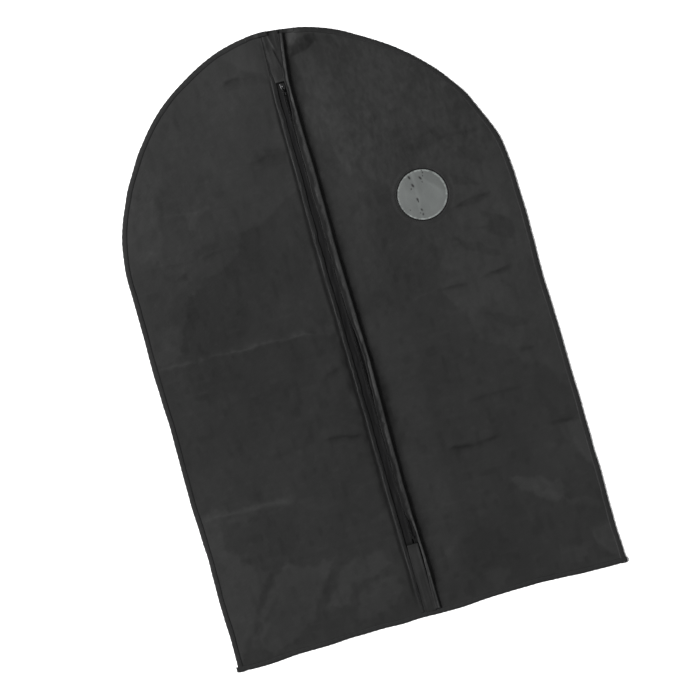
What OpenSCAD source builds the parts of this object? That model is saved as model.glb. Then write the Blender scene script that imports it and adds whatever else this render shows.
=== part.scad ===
// Garment cover: a flat, arched cloth bag with a full-length centre zip, a round window and a hanger opening.
// It lies on its back. +X is to the right, +Y is towards the hanger opening, +Z is up from the back panel.
// The origin is at the middle of the underside. All sizes are in millimetres.

/* [Bag] */
// Width of the bag over the edge binding
bag_w = 600; // [560:5:640]
// Length of the bag from its bottom edge to the top of its arch
bag_l = 911; // [880:1:1000]
// Height at which the straight sides end and the arch starts
shoulder_y = 600; // [560:5:620]
// Squareness of the arch: 2 is an ellipse, higher is squarer
arch_power = 1.87; // [1.8:0.01:2.2]
// Modelled thickness of one sheet of cloth
cloth_t = 0.8; // [0.6:0.1:1]
// Height of the underside of the front, over the floor
loft = 9.2; // [9:0.1:12]

/* [Edge binding] */
// Width of the binding tape as it shows on the front
binding_w = 7.4; // [6:0.2:9]
// Thickness of the binding tape
binding_t = 0.6; // [0.4:0.1:0.8]

/* [Zip] */
// Distance of the zip's centre line to the right of the bag's middle
zip_x = 3.5; // [2.5:0.1:4]
// Edge of the left front panel beside the zip
left_edge_x = -11; // [-12:0.5:-10]
// Edge of the right front panel beside the zip
right_edge_x = 7.6; // [7.5:0.1:9]
// Outer edge of each zip tape, from the zip's centre line
tape_half_w = 19; // [18:1:22]
// Thickness of the zip tape
tape_t = 0.6; // [0.5:0.1:0.6]
// Width of one half of the coil
coil_w = 1.2; // [1:0.1:1.2]
// Height of the coil over the tape
coil_h = 1.4; // [1.2:0.1:1.4]
// Lower end of the coil
chain_y0 = 120; // [116:1:122]
// Upper end of the coil, at the stops
chain_y1 = 829; // [829:1:829]
// Width of the left welt
welt_left_w = 4; // [3:0.5:4]
// Height of the left welt over the cloth
welt_left_h = 1.6; // [0.6:0.1:2]
// Width of the right welt
welt_right_w = 8.9; // [8:0.1:10]
// Height of the right welt over the cloth
welt_right_h = 3.6; // [1.2:0.1:4]

/* [Slider] */
// Width of the slider
slider_w = 7; // [6.8:0.1:7]
// Length of the slider
slider_l = 10; // [9:0.5:10]
// Upper end of the slider with the zip closed
slider_y1 = 828; // [828:0.1:828.5]
// Length of the pull tab from its pivot
pull_l = 14; // [10:0.5:14]
// Width of the pull tab
pull_w = 4.8; // [4.6:0.1:5.2]
// Thickness of the pull tab
pull_t = 0.8; // [0.6:0.1:0.8]

/* [Window] */
// Distance of the window's centre to the right of the bag's middle
window_x = 159.4; // [150:0.1:160]
// Height of the window's centre over the bottom edge
window_y = 610.4; // [590:0.1:620]
// Radius of the hole
window_r = 37.7; // [30:0.1:40]
// How far the film reaches past the hole, under the cloth
film_lap = 6.3; // [4:0.1:7]

/* [Opening front] */
// Distance of each fold line from the bag's middle
fold_x = 215; // [210:1:220]
// Lower end of the part of the front that folds back
flap_y0 = 150; // [145:1:160]
// Upper end of the part of the front that folds back, beside the zip
flap_y1 = 760; // [740:1:760]

/* [Hanger opening] */
// Middle of the hanger opening, to the right of the bag's middle
mouth_x = 12; // [10:0.5:14]
// Half the width over which the hanger opening is fully open
mouth_flat = 26; // [26:0.5:28]
// Half the width of the whole hanger opening
mouth_half = 40; // [38:0.5:42]

/* [Hidden] */
$fn = 64;

cloth_c = [0.16, 0.16, 0.165];
trim_c = [0.22, 0.22, 0.225];
tape_c = [0.10, 0.10, 0.105];
metal_c = [0.62, 0.62, 0.64];
film_c = [0.44, 0.455, 0.447];

half_w = bag_w / 2;
arch_h = bag_l - shoulder_y;
gap = 0.3;                        // running clearance between moving pieces
skin = binding_t;                 // the panels end this far inside the outline
top_z = loft + cloth_t;           // upper face of the front's flat part
tape_z = loft - tape_t;
rise_in = [0.75, 7.5, 14, 22, 32, 44, 60];         // distances in from the outline
rise_up = [0, 0, 0.16, 0.40, 0.68, 0.90, 1];       // the front's rise there, from 0 to 1
arch_n = 36;                      // steps along each half of the arch
side_n = 12;
base_n = 10;

function clamp01(v) = min(1, max(0, v));
function smooth(v) = let (c = clamp01(v)) c * c * (3 - 2 * c);
function lerp(a, b, t) = a + (b - a) * t;

// Half-width of the arch at a height over the shoulder, and its height at a distance from the middle
function arch_y(x) = shoulder_y + arch_h * pow(max(0, 1 - pow(abs(x) / half_w, arch_power)), 1 / arch_power);
// A point of the arch at angle a (0 at the shoulder, 90 at the top), moved in by d
function arch_pt(a, d) =
    let (x = half_w * pow(cos(a), 2 / arch_power), y = arch_h * pow(sin(a), 2 / arch_power),
         gx = pow(x / half_w, arch_power - 1) / half_w, gy = pow(y / arch_h, arch_power - 1) / arch_h,
         g = norm([gx, gy]))
    [x - d * gx / g, shoulder_y + y - d * gy / g];
// The whole outline, moved in by d, anticlockwise
function outline(d) = concat(
    [[-(half_w - d), d], [half_w - d, d]],
    [for (k = [0 : arch_n]) arch_pt(90 * k / arch_n, d)],
    [for (k = [arch_n - 1 : -1 : 0]) let (p = arch_pt(90 * k / arch_n, d)) [-p[0], p[1]]]);

// How open the hanger opening is at x, and how high the front is at distance d in from the outline
function mouth(x) = smooth((mouth_half - abs(x - mouth_x)) / (mouth_half - mouth_flat));
function rise(d) = lookup(d, [for (i = [0 : len(rise_in) - 1]) [rise_in[i], rise_up[i]]]);
function lift(x, y, d) = max(rise(d), y > shoulder_y + 0.6 * arch_h ? mouth(x) : 0);
function under_z(u) = cloth_t + (loft - cloth_t) * u;

// The bag's box reaches from the bottom edge to the back panel's top, so the origin is midway
module place() translate([0, -(bag_l - skin) / 2, 0]) children();

// A solid between the outline moved in by d0 and by d1
module rim(d0, d1, z0, z1) {
    translate([0, 0, z0]) linear_extrude(height = z1 - z0) difference() {
        polygon(outline(d0));
        polygon(outline(d1));
    }
}

// The L-shaped section of the binding: over the seam and down its outer edge
module binding_section() {
    union() {
        rim(0, skin, 0, cloth_t * 2 + binding_t);
        rim(0, binding_w, cloth_t * 2, cloth_t * 2 + binding_t);
    }
}

module slab(x0, x1, y0, y1, z0, z1) translate([x0, y0, z0]) cube([x1 - x0, y1 - y0, z1 - z0]);

module back_panel() color(cloth_c) place()
    linear_extrude(height = cloth_t) polygon(outline(skin));

// The fixed part of one front half. s is -1 on the left and 1 on the right; xs is its edge beside the zip.
// Stations run from the zip along the bottom, up the side and over the arch to the zip again.
function arch_angle(x) = acos(pow(abs(x) / half_w, arch_power / 2));
function stations(xs) =
    let (mouth_a = arch_angle(xs < 0 ? mouth_x - mouth_half : mouth_x + mouth_half),
         before = [for (k = [1 : arch_n]) if (90 * k / arch_n < mouth_a - 0.3) 90 * k / arch_n],
         after = [for (k = [1 : arch_n]) let (a = 90 * k / arch_n)
                  if (a > mouth_a + 0.3 && arch_pt(a, 0)[0] > abs(xs) + 4) a])
    concat([for (j = [0 : base_n]) ["base", j / base_n]],
           [for (j = [1 : side_n]) ["side", j / side_n]],
           [for (a = concat(before, [mouth_a], after)) ["arch", a]],
           [["end", 90]]);
function ring_pt(st, s, xs, d) =
    st[0] == "base" ? [lerp(xs, s * (half_w - d), st[1]), d] :
    st[0] == "side" ? [s * (half_w - d), lerp(d, shoulder_y, st[1])] :
    st[0] == "arch" ? let (p = arch_pt(st[1], d)) [s * p[0], p[1]] :
    [xs, arch_y(xs) - d];
// The inner edge, along the flap: bottom, fold line, slanted corner, top
corner_x = 130;
corner_y = flap_y1 - 70;
function inner_pt(st, s, xs) =
    st[0] == "base" ? [lerp(xs, s * fold_x, st[1]), flap_y0 - gap] :
    st[0] == "side" ? [s * fold_x, lerp(flap_y0 - gap, 560, st[1])] :
    st[0] == "end" ? [xs, flap_y1 + gap] :
    st[1] < 27.6 ? [s * fold_x, lerp(560, corner_y + gap, st[1] / 27.5)] :
    st[1] < 50.1 ? [s * lerp(fold_x, corner_x, (st[1] - 27.5) / 22.5), lerp(corner_y, flap_y1, (st[1] - 27.5) / 22.5) + gap] :
    [lerp(s * corner_x, xs, (st[1] - 50) / 40), flap_y1 + gap];

module front_panel(s, xs) {
    st = stations(xs);
    n = len(st);
    m = len(rise_in) + 1;
    plan = [for (a = st) concat(
        [for (d = rise_in) let (p = ring_pt(a, s, xs, d)) [p[0], p[1], under_z(lift(p[0], p[1], d))]],
        [let (p = inner_pt(a, s, xs)) [p[0], p[1], loft]])];
    low = [for (a = plan) for (p = a) p];
    high = [for (p = low) [p[0], p[1], p[2] + cloth_t]];
    h = n * m;
    function id(i, j) = i * m + j;
    quads = concat(
        [for (i = [0 : n - 2]) for (j = [0 : m - 2]) [id(i, j), id(i, j + 1), id(i + 1, j + 1), id(i + 1, j)]],
        [for (i = [0 : n - 2]) for (j = [0 : m - 2]) [h + id(i, j), h + id(i + 1, j), h + id(i + 1, j + 1), h + id(i, j + 1)]],
        [for (i = [0 : n - 2]) [id(i, 0), id(i + 1, 0), h + id(i + 1, 0), h + id(i, 0)]],
        [for (i = [0 : n - 2]) [id(i + 1, m - 1), id(i, m - 1), h + id(i, m - 1), h + id(i + 1, m - 1)]],
        [for (j = [0 : m - 2]) [id(0, j + 1), id(0, j), h + id(0, j), h + id(0, j + 1)]],
        [for (j = [0 : m - 2]) [id(n - 1, j), id(n - 1, j + 1), h + id(n - 1, j + 1), h + id(n - 1, j)]]);
    tris = [for (q = quads) each [[q[0], q[1], q[2]], [q[0], q[2], q[3]]]];
    polyhedron(points = concat(low, high), faces = s < 0 ? [for (t = tris) [t[2], t[1], t[0]]] : tris);
}

module front_left_panel() color(cloth_c) place() front_panel(-1, left_edge_x);
module front_right_panel() color(cloth_c) place() front_panel(1, right_edge_x);

// Edge binding, in the five runs between its corners and the hanger opening, which it stops just short of
module binding_left() color(trim_c) place() intersection() {
    binding_section();
    slab(-half_w - 1, 0, binding_w + 0.001, shoulder_y, -1, 5);
}
module binding_right() color(trim_c) place() intersection() {
    binding_section();
    slab(0, half_w + 1, binding_w + 0.001, shoulder_y, -1, 5);
}
module binding_bottom() color(trim_c) place() intersection() {
    binding_section();
    slab(-half_w - 1, half_w + 1, -1, binding_w, -1, 5);
}
module binding_arch_left() color(trim_c) place() intersection() {
    binding_section();
    slab(-half_w - 1, mouth_x - mouth_half - 12, shoulder_y, bag_l + 1, -1, 5);
}
module binding_arch_right() color(trim_c) place() intersection() {
    binding_section();
    slab(mouth_x + mouth_half + 12, half_w + 1, shoulder_y, bag_l + 1, -1, 5);
}

// Hems of the hanger opening, on the front's edge and on the back's
module hem(z) intersection() {
    rim(skin, binding_w, z, z + 0.6);
    slab(mouth_x - mouth_flat, mouth_x + mouth_flat, bag_l - 40, bag_l + 1, z - 1, z + 2);
}
module hook_hem_front() color(trim_c) place() hem(top_z);
module hook_hem_back() color(trim_c) place() hem(cloth_t);

// Slope of the front's underside near the bottom edge, as points [y, z]
slope = [for (i = [1 : len(rise_in) - 1]) [rise_in[i], under_z(rise_up[i])]];
// A strip that follows the front, from za over its underside to zb, between two heights
module follow(x0, x1, y0, y1, za, zb) {
    run = concat([[y0, under_z(rise(y0))]], [for (p = slope) if (p[0] > y0 + 0.01 && p[0] < y1 - 0.01) p],
                 [[y1, under_z(rise(y1))]]);
    translate([x0, 0, 0]) rotate([90, 0, 90]) linear_extrude(height = x1 - x0)
        polygon(concat([for (p = run) [p[0], p[1] + za]],
                       [for (i = [len(run) - 1 : -1 : 0]) [run[i][0], run[i][1] + zb]]));
}

// Zip tapes lie under the edges of the front. Their inner edges leave room for the slider's wedge.
post_w = 1;
tape_in = post_w / 2 + 0.4;
coil_in = post_w / 2 + gap;
module tape(s, y0, y1) {
    x0 = s < 0 ? zip_x - tape_half_w : zip_x + tape_in;
    x1 = s < 0 ? zip_x - tape_in : zip_x + tape_half_w;
    follow(x0, x1, y0, y1, -tape_t, 0);
}
module coil(s, y0, y1) {
    x0 = s < 0 ? zip_x - coil_in - coil_w : zip_x + coil_in;
    slab(x0, x0 + coil_w, y0, y1, loft, loft + coil_h);
}
module tape_ends() color(tape_c) place() for (s = [-1, 1]) {
    tape(s, 16, flap_y0 - gap);
    tape(s, flap_y1 + gap, 850);
}
module coil_ends() color(tape_c) place() for (s = [-1, 1]) {
    coil(s, chain_y0 + 4, flap_y0 - gap);
    coil(s, flap_y1 + gap, chain_y1);
}
module welt_ends() color(trim_c) place() {
    follow(left_edge_x - welt_left_w, left_edge_x, 8, flap_y0 - gap, cloth_t, cloth_t + welt_left_h);
    slab(left_edge_x - welt_left_w + 0.9, left_edge_x, flap_y1 + gap, bag_l - 10, top_z, top_z + welt_left_h);
    follow(right_edge_x, right_edge_x + welt_right_w, 8, flap_y0 - gap, cloth_t, cloth_t + welt_right_h);
    slab(right_edge_x, right_edge_x + welt_right_w, flap_y1 + gap, bag_l - 10, top_z, top_z + welt_right_h);
}
module tape_left() color(tape_c) place() tape(-1, flap_y0, flap_y1);
module tape_right() color(tape_c) place() tape(1, flap_y0, flap_y1);
module coil_left() color(tape_c) place() coil(-1, flap_y0, flap_y1);
module coil_right() color(tape_c) place() coil(1, flap_y0, flap_y1);
module welt_left() color(trim_c) place()
    slab(left_edge_x - welt_left_w, left_edge_x, flap_y0, flap_y1, top_z, top_z + welt_left_h);
module welt_right() color(trim_c) place()
    slab(right_edge_x, right_edge_x + welt_right_w, flap_y0, flap_y1, top_z, top_z + welt_right_h);

// Stops at the ends of the coil
module top_stops() color(metal_c) place() for (s = [-1, 1])
    slab(zip_x + s * (coil_in + coil_w / 2) - 0.75, zip_x + s * (coil_in + coil_w / 2) + 0.75,
         chain_y1, chain_y1 + 4, loft, loft + coil_h);
module bottom_stop() color(metal_c) place()
    slab(zip_x - 2.4, zip_x + 2.4, chain_y0, chain_y0 + 4, loft, loft + coil_h);

// Tabs of cloth over the two ends of the zip
module top_tab() color(cloth_c) place() union() {
    intersection() {
        translate([0, 0, loft]) linear_extrude(height = 4)
            polygon([[-4, chain_y1], [right_edge_x, chain_y1], [right_edge_x, bag_l - 10], [-8.6, bag_l - 10]]);
        translate([-100, 0, 0]) rotate([90, 0, 90]) linear_extrude(height = 200)
            polygon([[chain_y1, loft + coil_h + gap], [chain_y1 + 6, loft + coil_h + gap], [chain_y1 + 6, top_z],
                     [bag_l, top_z], [bag_l, top_z + 1.6], [chain_y1 + 2, top_z + 1.6], [chain_y1, top_z + 1.2]]);
    }
    slab(left_edge_x, right_edge_x, 850, bag_l - 8, loft, top_z);
}
module bottom_tab() color(cloth_c) place()
    follow(-7, right_edge_x, 8, 113, cloth_t, cloth_t + 0.9);

// The parts of the front that fold back once the zip is undone
function flap_plan(s, xs) = [[xs, flap_y0], [xs, flap_y1], [s * corner_x, flap_y1],
                             [s * (fold_x - gap), corner_y], [s * (fold_x - gap), flap_y0]];
module front_left_flap() color(cloth_c) place()
    translate([0, 0, loft]) linear_extrude(height = cloth_t) polygon(flap_plan(-1, left_edge_x));
module front_right_flap() color(cloth_c) place() difference() {
    translate([0, 0, loft]) linear_extrude(height = cloth_t) polygon(flap_plan(1, right_edge_x));
    translate([window_x, window_y, loft - 1]) cylinder(r = window_r, h = cloth_t + 2);
}
module window_film() color(film_c) place()
    translate([window_x, window_y, loft - 0.4]) cylinder(r = window_r + film_lap, h = 0.4);

// Slider: an upper and a lower plate joined by a wedge, with flanges that hold the coil
plate_t = 0.9;
plate_z = loft + coil_h + gap;
low_z = tape_z - gap - plate_t;
pivot_z = plate_z + plate_t + 0.8;
pivot_y = slider_y1 - slider_l + 4.2;
flange_w = 1;
module slider_plate(z) translate([zip_x, slider_y1 - slider_l, z]) linear_extrude(height = plate_t)
    union() {
        translate([-slider_w / 2 + 0.8, 0]) square([slider_w - 1.6, slider_l]);
        translate([-slider_w / 2, 3]) square([slider_w, slider_l - 4.5]);
        for (x = [-1, 1]) translate([x * (slider_w / 2 - 1.5), slider_l - 1.5]) circle(r = 1.5);
        for (x = [-1, 1]) translate([x * (slider_w / 2 - 1.5), 1.5]) circle(r = 1.5);
    }
module slider_body() color(metal_c) place() union() {
    slider_plate(plate_z);
    slider_plate(low_z);
    slab(zip_x - post_w / 2, zip_x + post_w / 2, slider_y1 - 3.2, slider_y1 - 0.6, low_z + 0.1, plate_z + 0.1);
    for (s = [-1, 1]) {
        x = s < 0 ? zip_x - slider_w / 2 : zip_x + slider_w / 2 - flange_w + 0.3;
        slab(x, x + flange_w - 0.3, slider_y1 - slider_l + 3, slider_y1 - 1.5, loft + gap, plate_z + 0.1);
    }
}
// The bridge stands on the upper plate. The pull's pin lies in its opening.
module slider_bridge() color(metal_c) place() translate([zip_x - 0.6, pivot_y, plate_z + plate_t])
    rotate([90, 0, 90]) linear_extrude(height = 1.2) difference() {
        intersection() {
            circle(r = 2.9);
            translate([-3, 0]) square([6, 3]);
        }
        translate([-1.9, -0.01]) square([3.8, 1.61]);
    }
// The pull tab: a pin in the bridge, two arms beside it, and a plate with a small hole
module pull_tab() color(metal_c) place() translate([zip_x, pivot_y, pivot_z]) union() {
    rotate([0, 90, 0]) translate([0, 0, -2.1]) cylinder(r = 0.5, h = 4.2);
    difference() {
        translate([0, 0, -pull_t / 2]) linear_extrude(height = pull_t) union() {
            for (s = [-1, 1]) translate([s * 1.55 - 0.6, -3.6]) square([1.2, 3.6]);
            translate([-pull_w / 2 + 0.25, -pull_l + 2.4]) square([pull_w - 0.5, pull_l - 5.8]);
            translate([0, -pull_l + pull_w / 2]) circle(r = pull_w / 2);
        }
        translate([0, -pull_l + pull_w / 2, -1]) cylinder(r = 1.2, h = 2);
    }
}

back_panel();
front_left_panel();
front_right_panel();
binding_left();
binding_right();
binding_bottom();
binding_arch_left();
binding_arch_right();
hook_hem_front();
hook_hem_back();
tape_ends();
coil_ends();
welt_ends();
top_stops();
bottom_stop();
top_tab();
bottom_tab();
front_left_flap();
tape_left();
coil_left();
welt_left();
front_right_flap();
tape_right();
coil_right();
welt_right();
window_film();
slider_body();
slider_bridge();
pull_tab();
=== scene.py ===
import bpy, bmesh, math
import numpy as np
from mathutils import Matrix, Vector


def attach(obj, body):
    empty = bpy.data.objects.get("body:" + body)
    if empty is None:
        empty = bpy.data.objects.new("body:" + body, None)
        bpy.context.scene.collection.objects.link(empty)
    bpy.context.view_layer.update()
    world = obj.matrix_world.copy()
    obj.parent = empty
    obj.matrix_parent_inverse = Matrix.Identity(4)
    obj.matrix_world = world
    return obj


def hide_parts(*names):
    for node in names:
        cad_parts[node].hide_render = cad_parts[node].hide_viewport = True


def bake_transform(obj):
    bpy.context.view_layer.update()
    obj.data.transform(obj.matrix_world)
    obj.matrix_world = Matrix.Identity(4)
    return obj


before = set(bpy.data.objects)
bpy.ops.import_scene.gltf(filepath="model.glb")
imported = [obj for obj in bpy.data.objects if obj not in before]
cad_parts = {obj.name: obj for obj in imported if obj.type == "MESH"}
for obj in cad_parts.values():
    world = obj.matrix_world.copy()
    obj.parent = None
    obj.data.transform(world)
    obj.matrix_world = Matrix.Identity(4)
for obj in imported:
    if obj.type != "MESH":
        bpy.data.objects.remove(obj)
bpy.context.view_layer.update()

MM = 0.001
MIDY = 455.2                      # the row frame's origin, in mm above the bottom edge
HW, ARCH_Y, ARCH_H, PW = 300.0, 600.0, 311.0, 1.87
ZIPX = 3.5

# ---------------------------------------------------------------- camera and light
def make_camera():
    cam = bpy.data.cameras.new("camera")
    cam.type = "PERSP"
    cam.lens, cam.sensor_width = 135.0, 36.0
    o = bpy.data.objects.new("camera", cam)
    bpy.context.scene.collection.objects.link(o)
    dist = (1.0458 / 2) / (18.0 / 135.0)
    o.location = (-0.0085, 0.4169 - MIDY * MM, dist + 0.008)
    th = math.radians(16.05)
    # looking straight down, with the bag's top leaning to the left of the picture
    o.rotation_euler = (0, 0, -th)
    cam.clip_start, cam.clip_end = 0.05, 50
    bpy.context.scene.camera = o


def sun(name, frm, strength, angle, colour=(1, 1, 1)):
    """A broad even light from one direction, like a large softbox a long way off."""
    l = bpy.data.lights.new(name, "SUN")
    l.energy, l.color, l.angle = strength, colour, math.radians(angle)
    o = bpy.data.objects.new(name, l)
    bpy.context.scene.collection.objects.link(o)
    o.location = frm
    o.rotation_euler = (-Vector(frm)).to_track_quat("-Z", "Y").to_euler()
    return o


def make_lights():
    w = bpy.data.worlds.new("world")
    bpy.context.scene.world = w
    w.use_nodes = True
    bg = w.node_tree.nodes["Background"]
    bg.inputs[0].default_value = (1.0, 1.0, 1.0, 1)
    bg.inputs[1].default_value = 0.24
    el = math.radians(35)
    sun("key", (-0.961 * math.cos(el), 0.2765 * math.cos(el), math.sin(el)), 9.2, 38)
    sun("fill", (1.2, -0.5, 1.8), 0.5, 60)
    bpy.context.scene.view_settings.view_transform = "Standard"
    bpy.context.scene.view_settings.look = "None"


# ---------------------------------------------------------------- small maths
def sstep(v, a=0.0, b=1.0):
    t = np.clip((np.asarray(v, float) - a) / (b - a), 0, 1)
    return t * t * (3 - 2 * t)


def lerp(a, b, t):
    return a + (b - a) * t


def curve(y, table):
    """Smooth curve through a table of (y, value)."""
    t = np.array(table, float)
    y = np.asarray(y, float)
    xs, vs = t[:, 0], t[:, 1]
    m = np.gradient(vs, xs)
    i = np.clip(np.searchsorted(xs, y) - 1, 0, len(xs) - 2)
    h = xs[i + 1] - xs[i]
    u = np.clip((y - xs[i]) / h, 0, 1)
    return ((2 * u**3 - 3 * u**2 + 1) * vs[i] + (u**3 - 2 * u**2 + u) * h * m[i]
            + (-2 * u**3 + 3 * u**2) * vs[i + 1] + (u**3 - u**2) * h * m[i + 1])


class Noise:
    """Smooth value noise from a seeded grid, in -1..1."""
    def __init__(self, seed, n=128):
        self.g = np.random.RandomState(seed).uniform(-1, 1, (n, n))
        self.n = n

    def __call__(self, x, y, scale):
        x, y = np.asarray(x, float) / scale + 37.3, np.asarray(y, float) / scale + 11.7
        x, y = np.broadcast_arrays(x, y)
        ix, iy = np.floor(x).astype(int), np.floor(y).astype(int)
        fx, fy = x - ix, y - iy
        fx, fy = fx**3 * (fx * (fx * 6 - 15) + 10), fy**3 * (fy * (fy * 6 - 15) + 10)
        g, n = self.g, self.n
        a, b = g[ix % n, iy % n], g[(ix + 1) % n, iy % n]
        c, d = g[ix % n, (iy + 1) % n], g[(ix + 1) % n, (iy + 1) % n]
        return (a * (1 - fx) + b * fx) * (1 - fy) + (c * (1 - fx) + d * fx) * fy

    def fractal(self, x, y, scale, octaves=3, gain=0.5):
        s, amp, tot = 0, 1.0, 0.0
        for k in range(octaves):
            s = s + amp * self(x + 91.7 * k, y - 53.1 * k, scale / 2**k)
            tot += amp
            amp *= gain
        return s / tot


N1, N2, N3, N4, N5 = (Noise(s) for s in (11, 23, 37, 51, 77))


# ---------------------------------------------------------------- the bag's outline (mm, bag frame)
EDGE_LEFT = [(-20, 1.8), (20, 1.75), (60, 1.0), (100, 1.75), (140, 0.0), (180, -1.0), (220, -0.25), (260, 1.75), (300, 2.0),
             (340, 1.5), (380, 0.5), (420, 1.0), (460, 0.75), (500, 0.25), (540, 0.0), (580, 0.6), (600, 1.1)]
EDGE_RIGHT = [(-20, 1.8), (20, 1.5), (60, -0.25), (100, 1.0), (140, 2.5), (180, 2.5), (220, 2.25), (260, 2.25), (300, 0.75),
              (340, 0.5), (380, 0.5), (420, 0.5), (460, 0.4), (500, 2.2), (540, 2.4), (580, 1.0), (600, 0.5)]
EDGE_ARCH = [(0, 0.5), (4, 0.2), (12, 2.25), (20, 1.25), (28, 2.0), (36, 0.25), (44, -0.25), (52, -1.0), (60, -1.5), (68, -0.25),
             (76, -0.5), (84, -1.25), (92, -0.25), (100, 0.0), (108, -0.25), (116, -1.25), (124, 0.0), (132, 0.75), (140, 0.5),
             (148, -0.75), (156, 0.0), (164, 1.25), (172, 1.75), (180, 1.1)]
EDGE_BOTTOM = [(-302, 1.0), (-285, 2.0), (-255, 2.75), (-225, 1.25), (-195, 1.75), (-165, 2.75), (-135, 2.25), (-105, 1.25), (-75, 0.75),
               (-45, 2.0), (-15, 1.75), (15, 3.3), (45, 3.8), (75, 1.75), (105, -0.25), (135, -1.0), (165, -1.75), (195, 0.25),
               (225, 2.5), (255, 3.0), (285, 2.75), (302, 1.8)]


def warp(x, y):
    """The measured shape of the cloth as it lies: the arch leans a little to the left, and no edge is quite straight."""
    x, y = np.asarray(x, float), np.asarray(y, float)
    s = sstep(y, 770, 905)
    dx = -7.0 * s
    dx = dx + 0.9 * np.sin(y / 47.0 + 0.6) * sstep(np.abs(x), 200, 300) * (1 - s)
    t = np.clip(x / HW, -1, 1)
    dy = (3.6 * (1 - t**2) + 0.7 * np.sin(x / 31.0)) * (1 - sstep(y, 0, 120))
    dy = dy - curve(x, EDGE_BOTTOM) * (1 - sstep(y, 0, 110))
    # sides
    out = np.where(x < 0, -curve(y, EDGE_LEFT), curve(y, EDGE_RIGHT)) * sstep(np.abs(x), 170, 300)
    low = y < ARCH_Y
    # arch
    yy = np.clip(y - ARCH_Y, 0, None)
    cx_, cy_ = (np.abs(x) / HW) ** (PW / 2), (yy / ARCH_H) ** (PW / 2)
    ang = np.degrees(np.arctan2(cy_, np.maximum(cx_, 1e-9)))
    ang = np.where(x < 0, 180 - ang, ang)
    rho = np.sqrt(cx_**2 + cy_**2) ** (2 / PW)
    r = np.maximum(np.hypot(x, yy), 1e-6)
    e = curve(ang, EDGE_ARCH) * sstep(rho, 0.55, 1.0)
    dx = dx + np.where(low, out, e * x / r)
    dy = dy + np.where(low, 0, e * yy / r)
    return x + dx, y + dy


def outline_pt(a, d=0.0):
    """Point of the arch at angle a in degrees, moved in by d, on the right-hand side."""
    a = np.radians(np.asarray(a, float))
    x = HW * np.clip(np.cos(a), 0, None) ** (2 / PW)
    y = ARCH_H * np.clip(np.sin(a), 0, None) ** (2 / PW)
    gx = np.clip(x / HW, 1e-9, None) ** (PW - 1) / HW
    gy = np.clip(y / ARCH_H, 1e-9, None) ** (PW - 1) / ARCH_H
    g = np.hypot(gx, gy)
    return x - d * gx / g, ARCH_Y + y - d * gy / g


def arch_top(x):
    return ARCH_Y + ARCH_H * np.clip(1 - (np.abs(x) / HW) ** PW, 0, None) ** (1 / PW)


def side_distance(x, y):
    """Distance in from the sides and the arch."""
    yy = np.clip(y - ARCH_Y, 0, None)
    rho = ((np.abs(x) / HW) ** PW + (yy / ARCH_H) ** PW) ** (1 / PW)
    r = np.hypot(x, yy)
    return np.where(rho < 0.05, 300.0, r * (1 / np.clip(rho, 0.05, None) - 1))


# ---------------------------------------------------------------- how the front lies
def mouth(x):
    return sstep((112 - np.abs(x - 10)) / 88)


def rise(x, y):
    """0 at the seam, 1 where the front lies at its full height."""
    ax = np.abs(x - 5)
    ds = side_distance(x, y)
    up = sstep(y, 640, 800)
    wide = lerp(lerp(245.0, 205.0, up), 84.0, up * (1 - sstep(ax, 20, 190)))
    wb = lerp(84.0, 160.0, sstep(ax, 20, 170))
    q = np.clip(ds / wide, 0, 1)
    r = (1 - (1 - q) ** 1.9) * sstep(y / wb)
    # at the hanger opening the front isn't sewn to the back, and lies lower towards its edge
    open_end = mouth(x) * sstep(y, 760, 800) * (1 - 0.70 * sstep(y, 826, 909))
    r = np.where(y > 838, r * (1 - sstep(y, 838, 909) * mouth(x)), r)
    return np.maximum(r, np.where(y > 760, open_end, 0))


def level(x, y):
    """Height of the layer of the zip tapes, in mm. It is 9.2 where the front is at its full height."""
    return 0.95 + 8.25 * rise(x, y)


# the zip's welts, followed along the bag
def welt_left_x(y):
    return curve(y, [(0, -12.3), (60, -12.3), (150, -12.9), (250, -12.6), (350, -12.0), (450, -12.2), (550, -12.7), (600, -12.5),
                     (650, -11.6), (750, -10.8), (800, -10.2), (830, -9.4), (870, -7.4), (911, -5.6)])


def welt_right_x(y):
    """The crest of the right welt."""
    return curve(y, [(0, 14.3), (60, 14.3), (150, 12.6), (200, 12.2), (250, 12.7), (300, 13.4), (350, 14.5), (400, 15.2), (450, 14.7),
                     (500, 13.7), (550, 13.0), (600, 13.4), (650, 14.0), (700, 14.4), (750, 13.8), (800, 13.7), (830, 14.8),
                     (862, 18.6), (898, 23.6), (911, 25.2)])


def welt_right_edge(y):
    """The free edge of the right welt, which half covers the coil."""
    return curve(y, [(0, 7.7), (139, 7.9), (145, 7.0), (154, 4.2), (166, 2.6), (210, 2.3), (260, 3.2), (325, 4.3), (370, 7.0), (400, 8.2), (430, 7.0),
                     (465, 4.4), (500, 3.0), (550, 2.4), (650, 2.3), (700, 2.9), (745, 3.6), (775, 5.2), (792, 6.9), (803, 8.1), (830, 8.3),
                     (862, 12.0), (898, 17.5), (911, 19.0)])


def groove_left_x(y):
    """The dark groove between the left half's cloth and its welt."""
    y = np.asarray(y, float)
    return welt_left_x(y) - 3.0 + 0.5 * N3(y, y * 0 + 2, 19) + 0.45 * N4(y, y * 0 + 8, 8)


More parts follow.
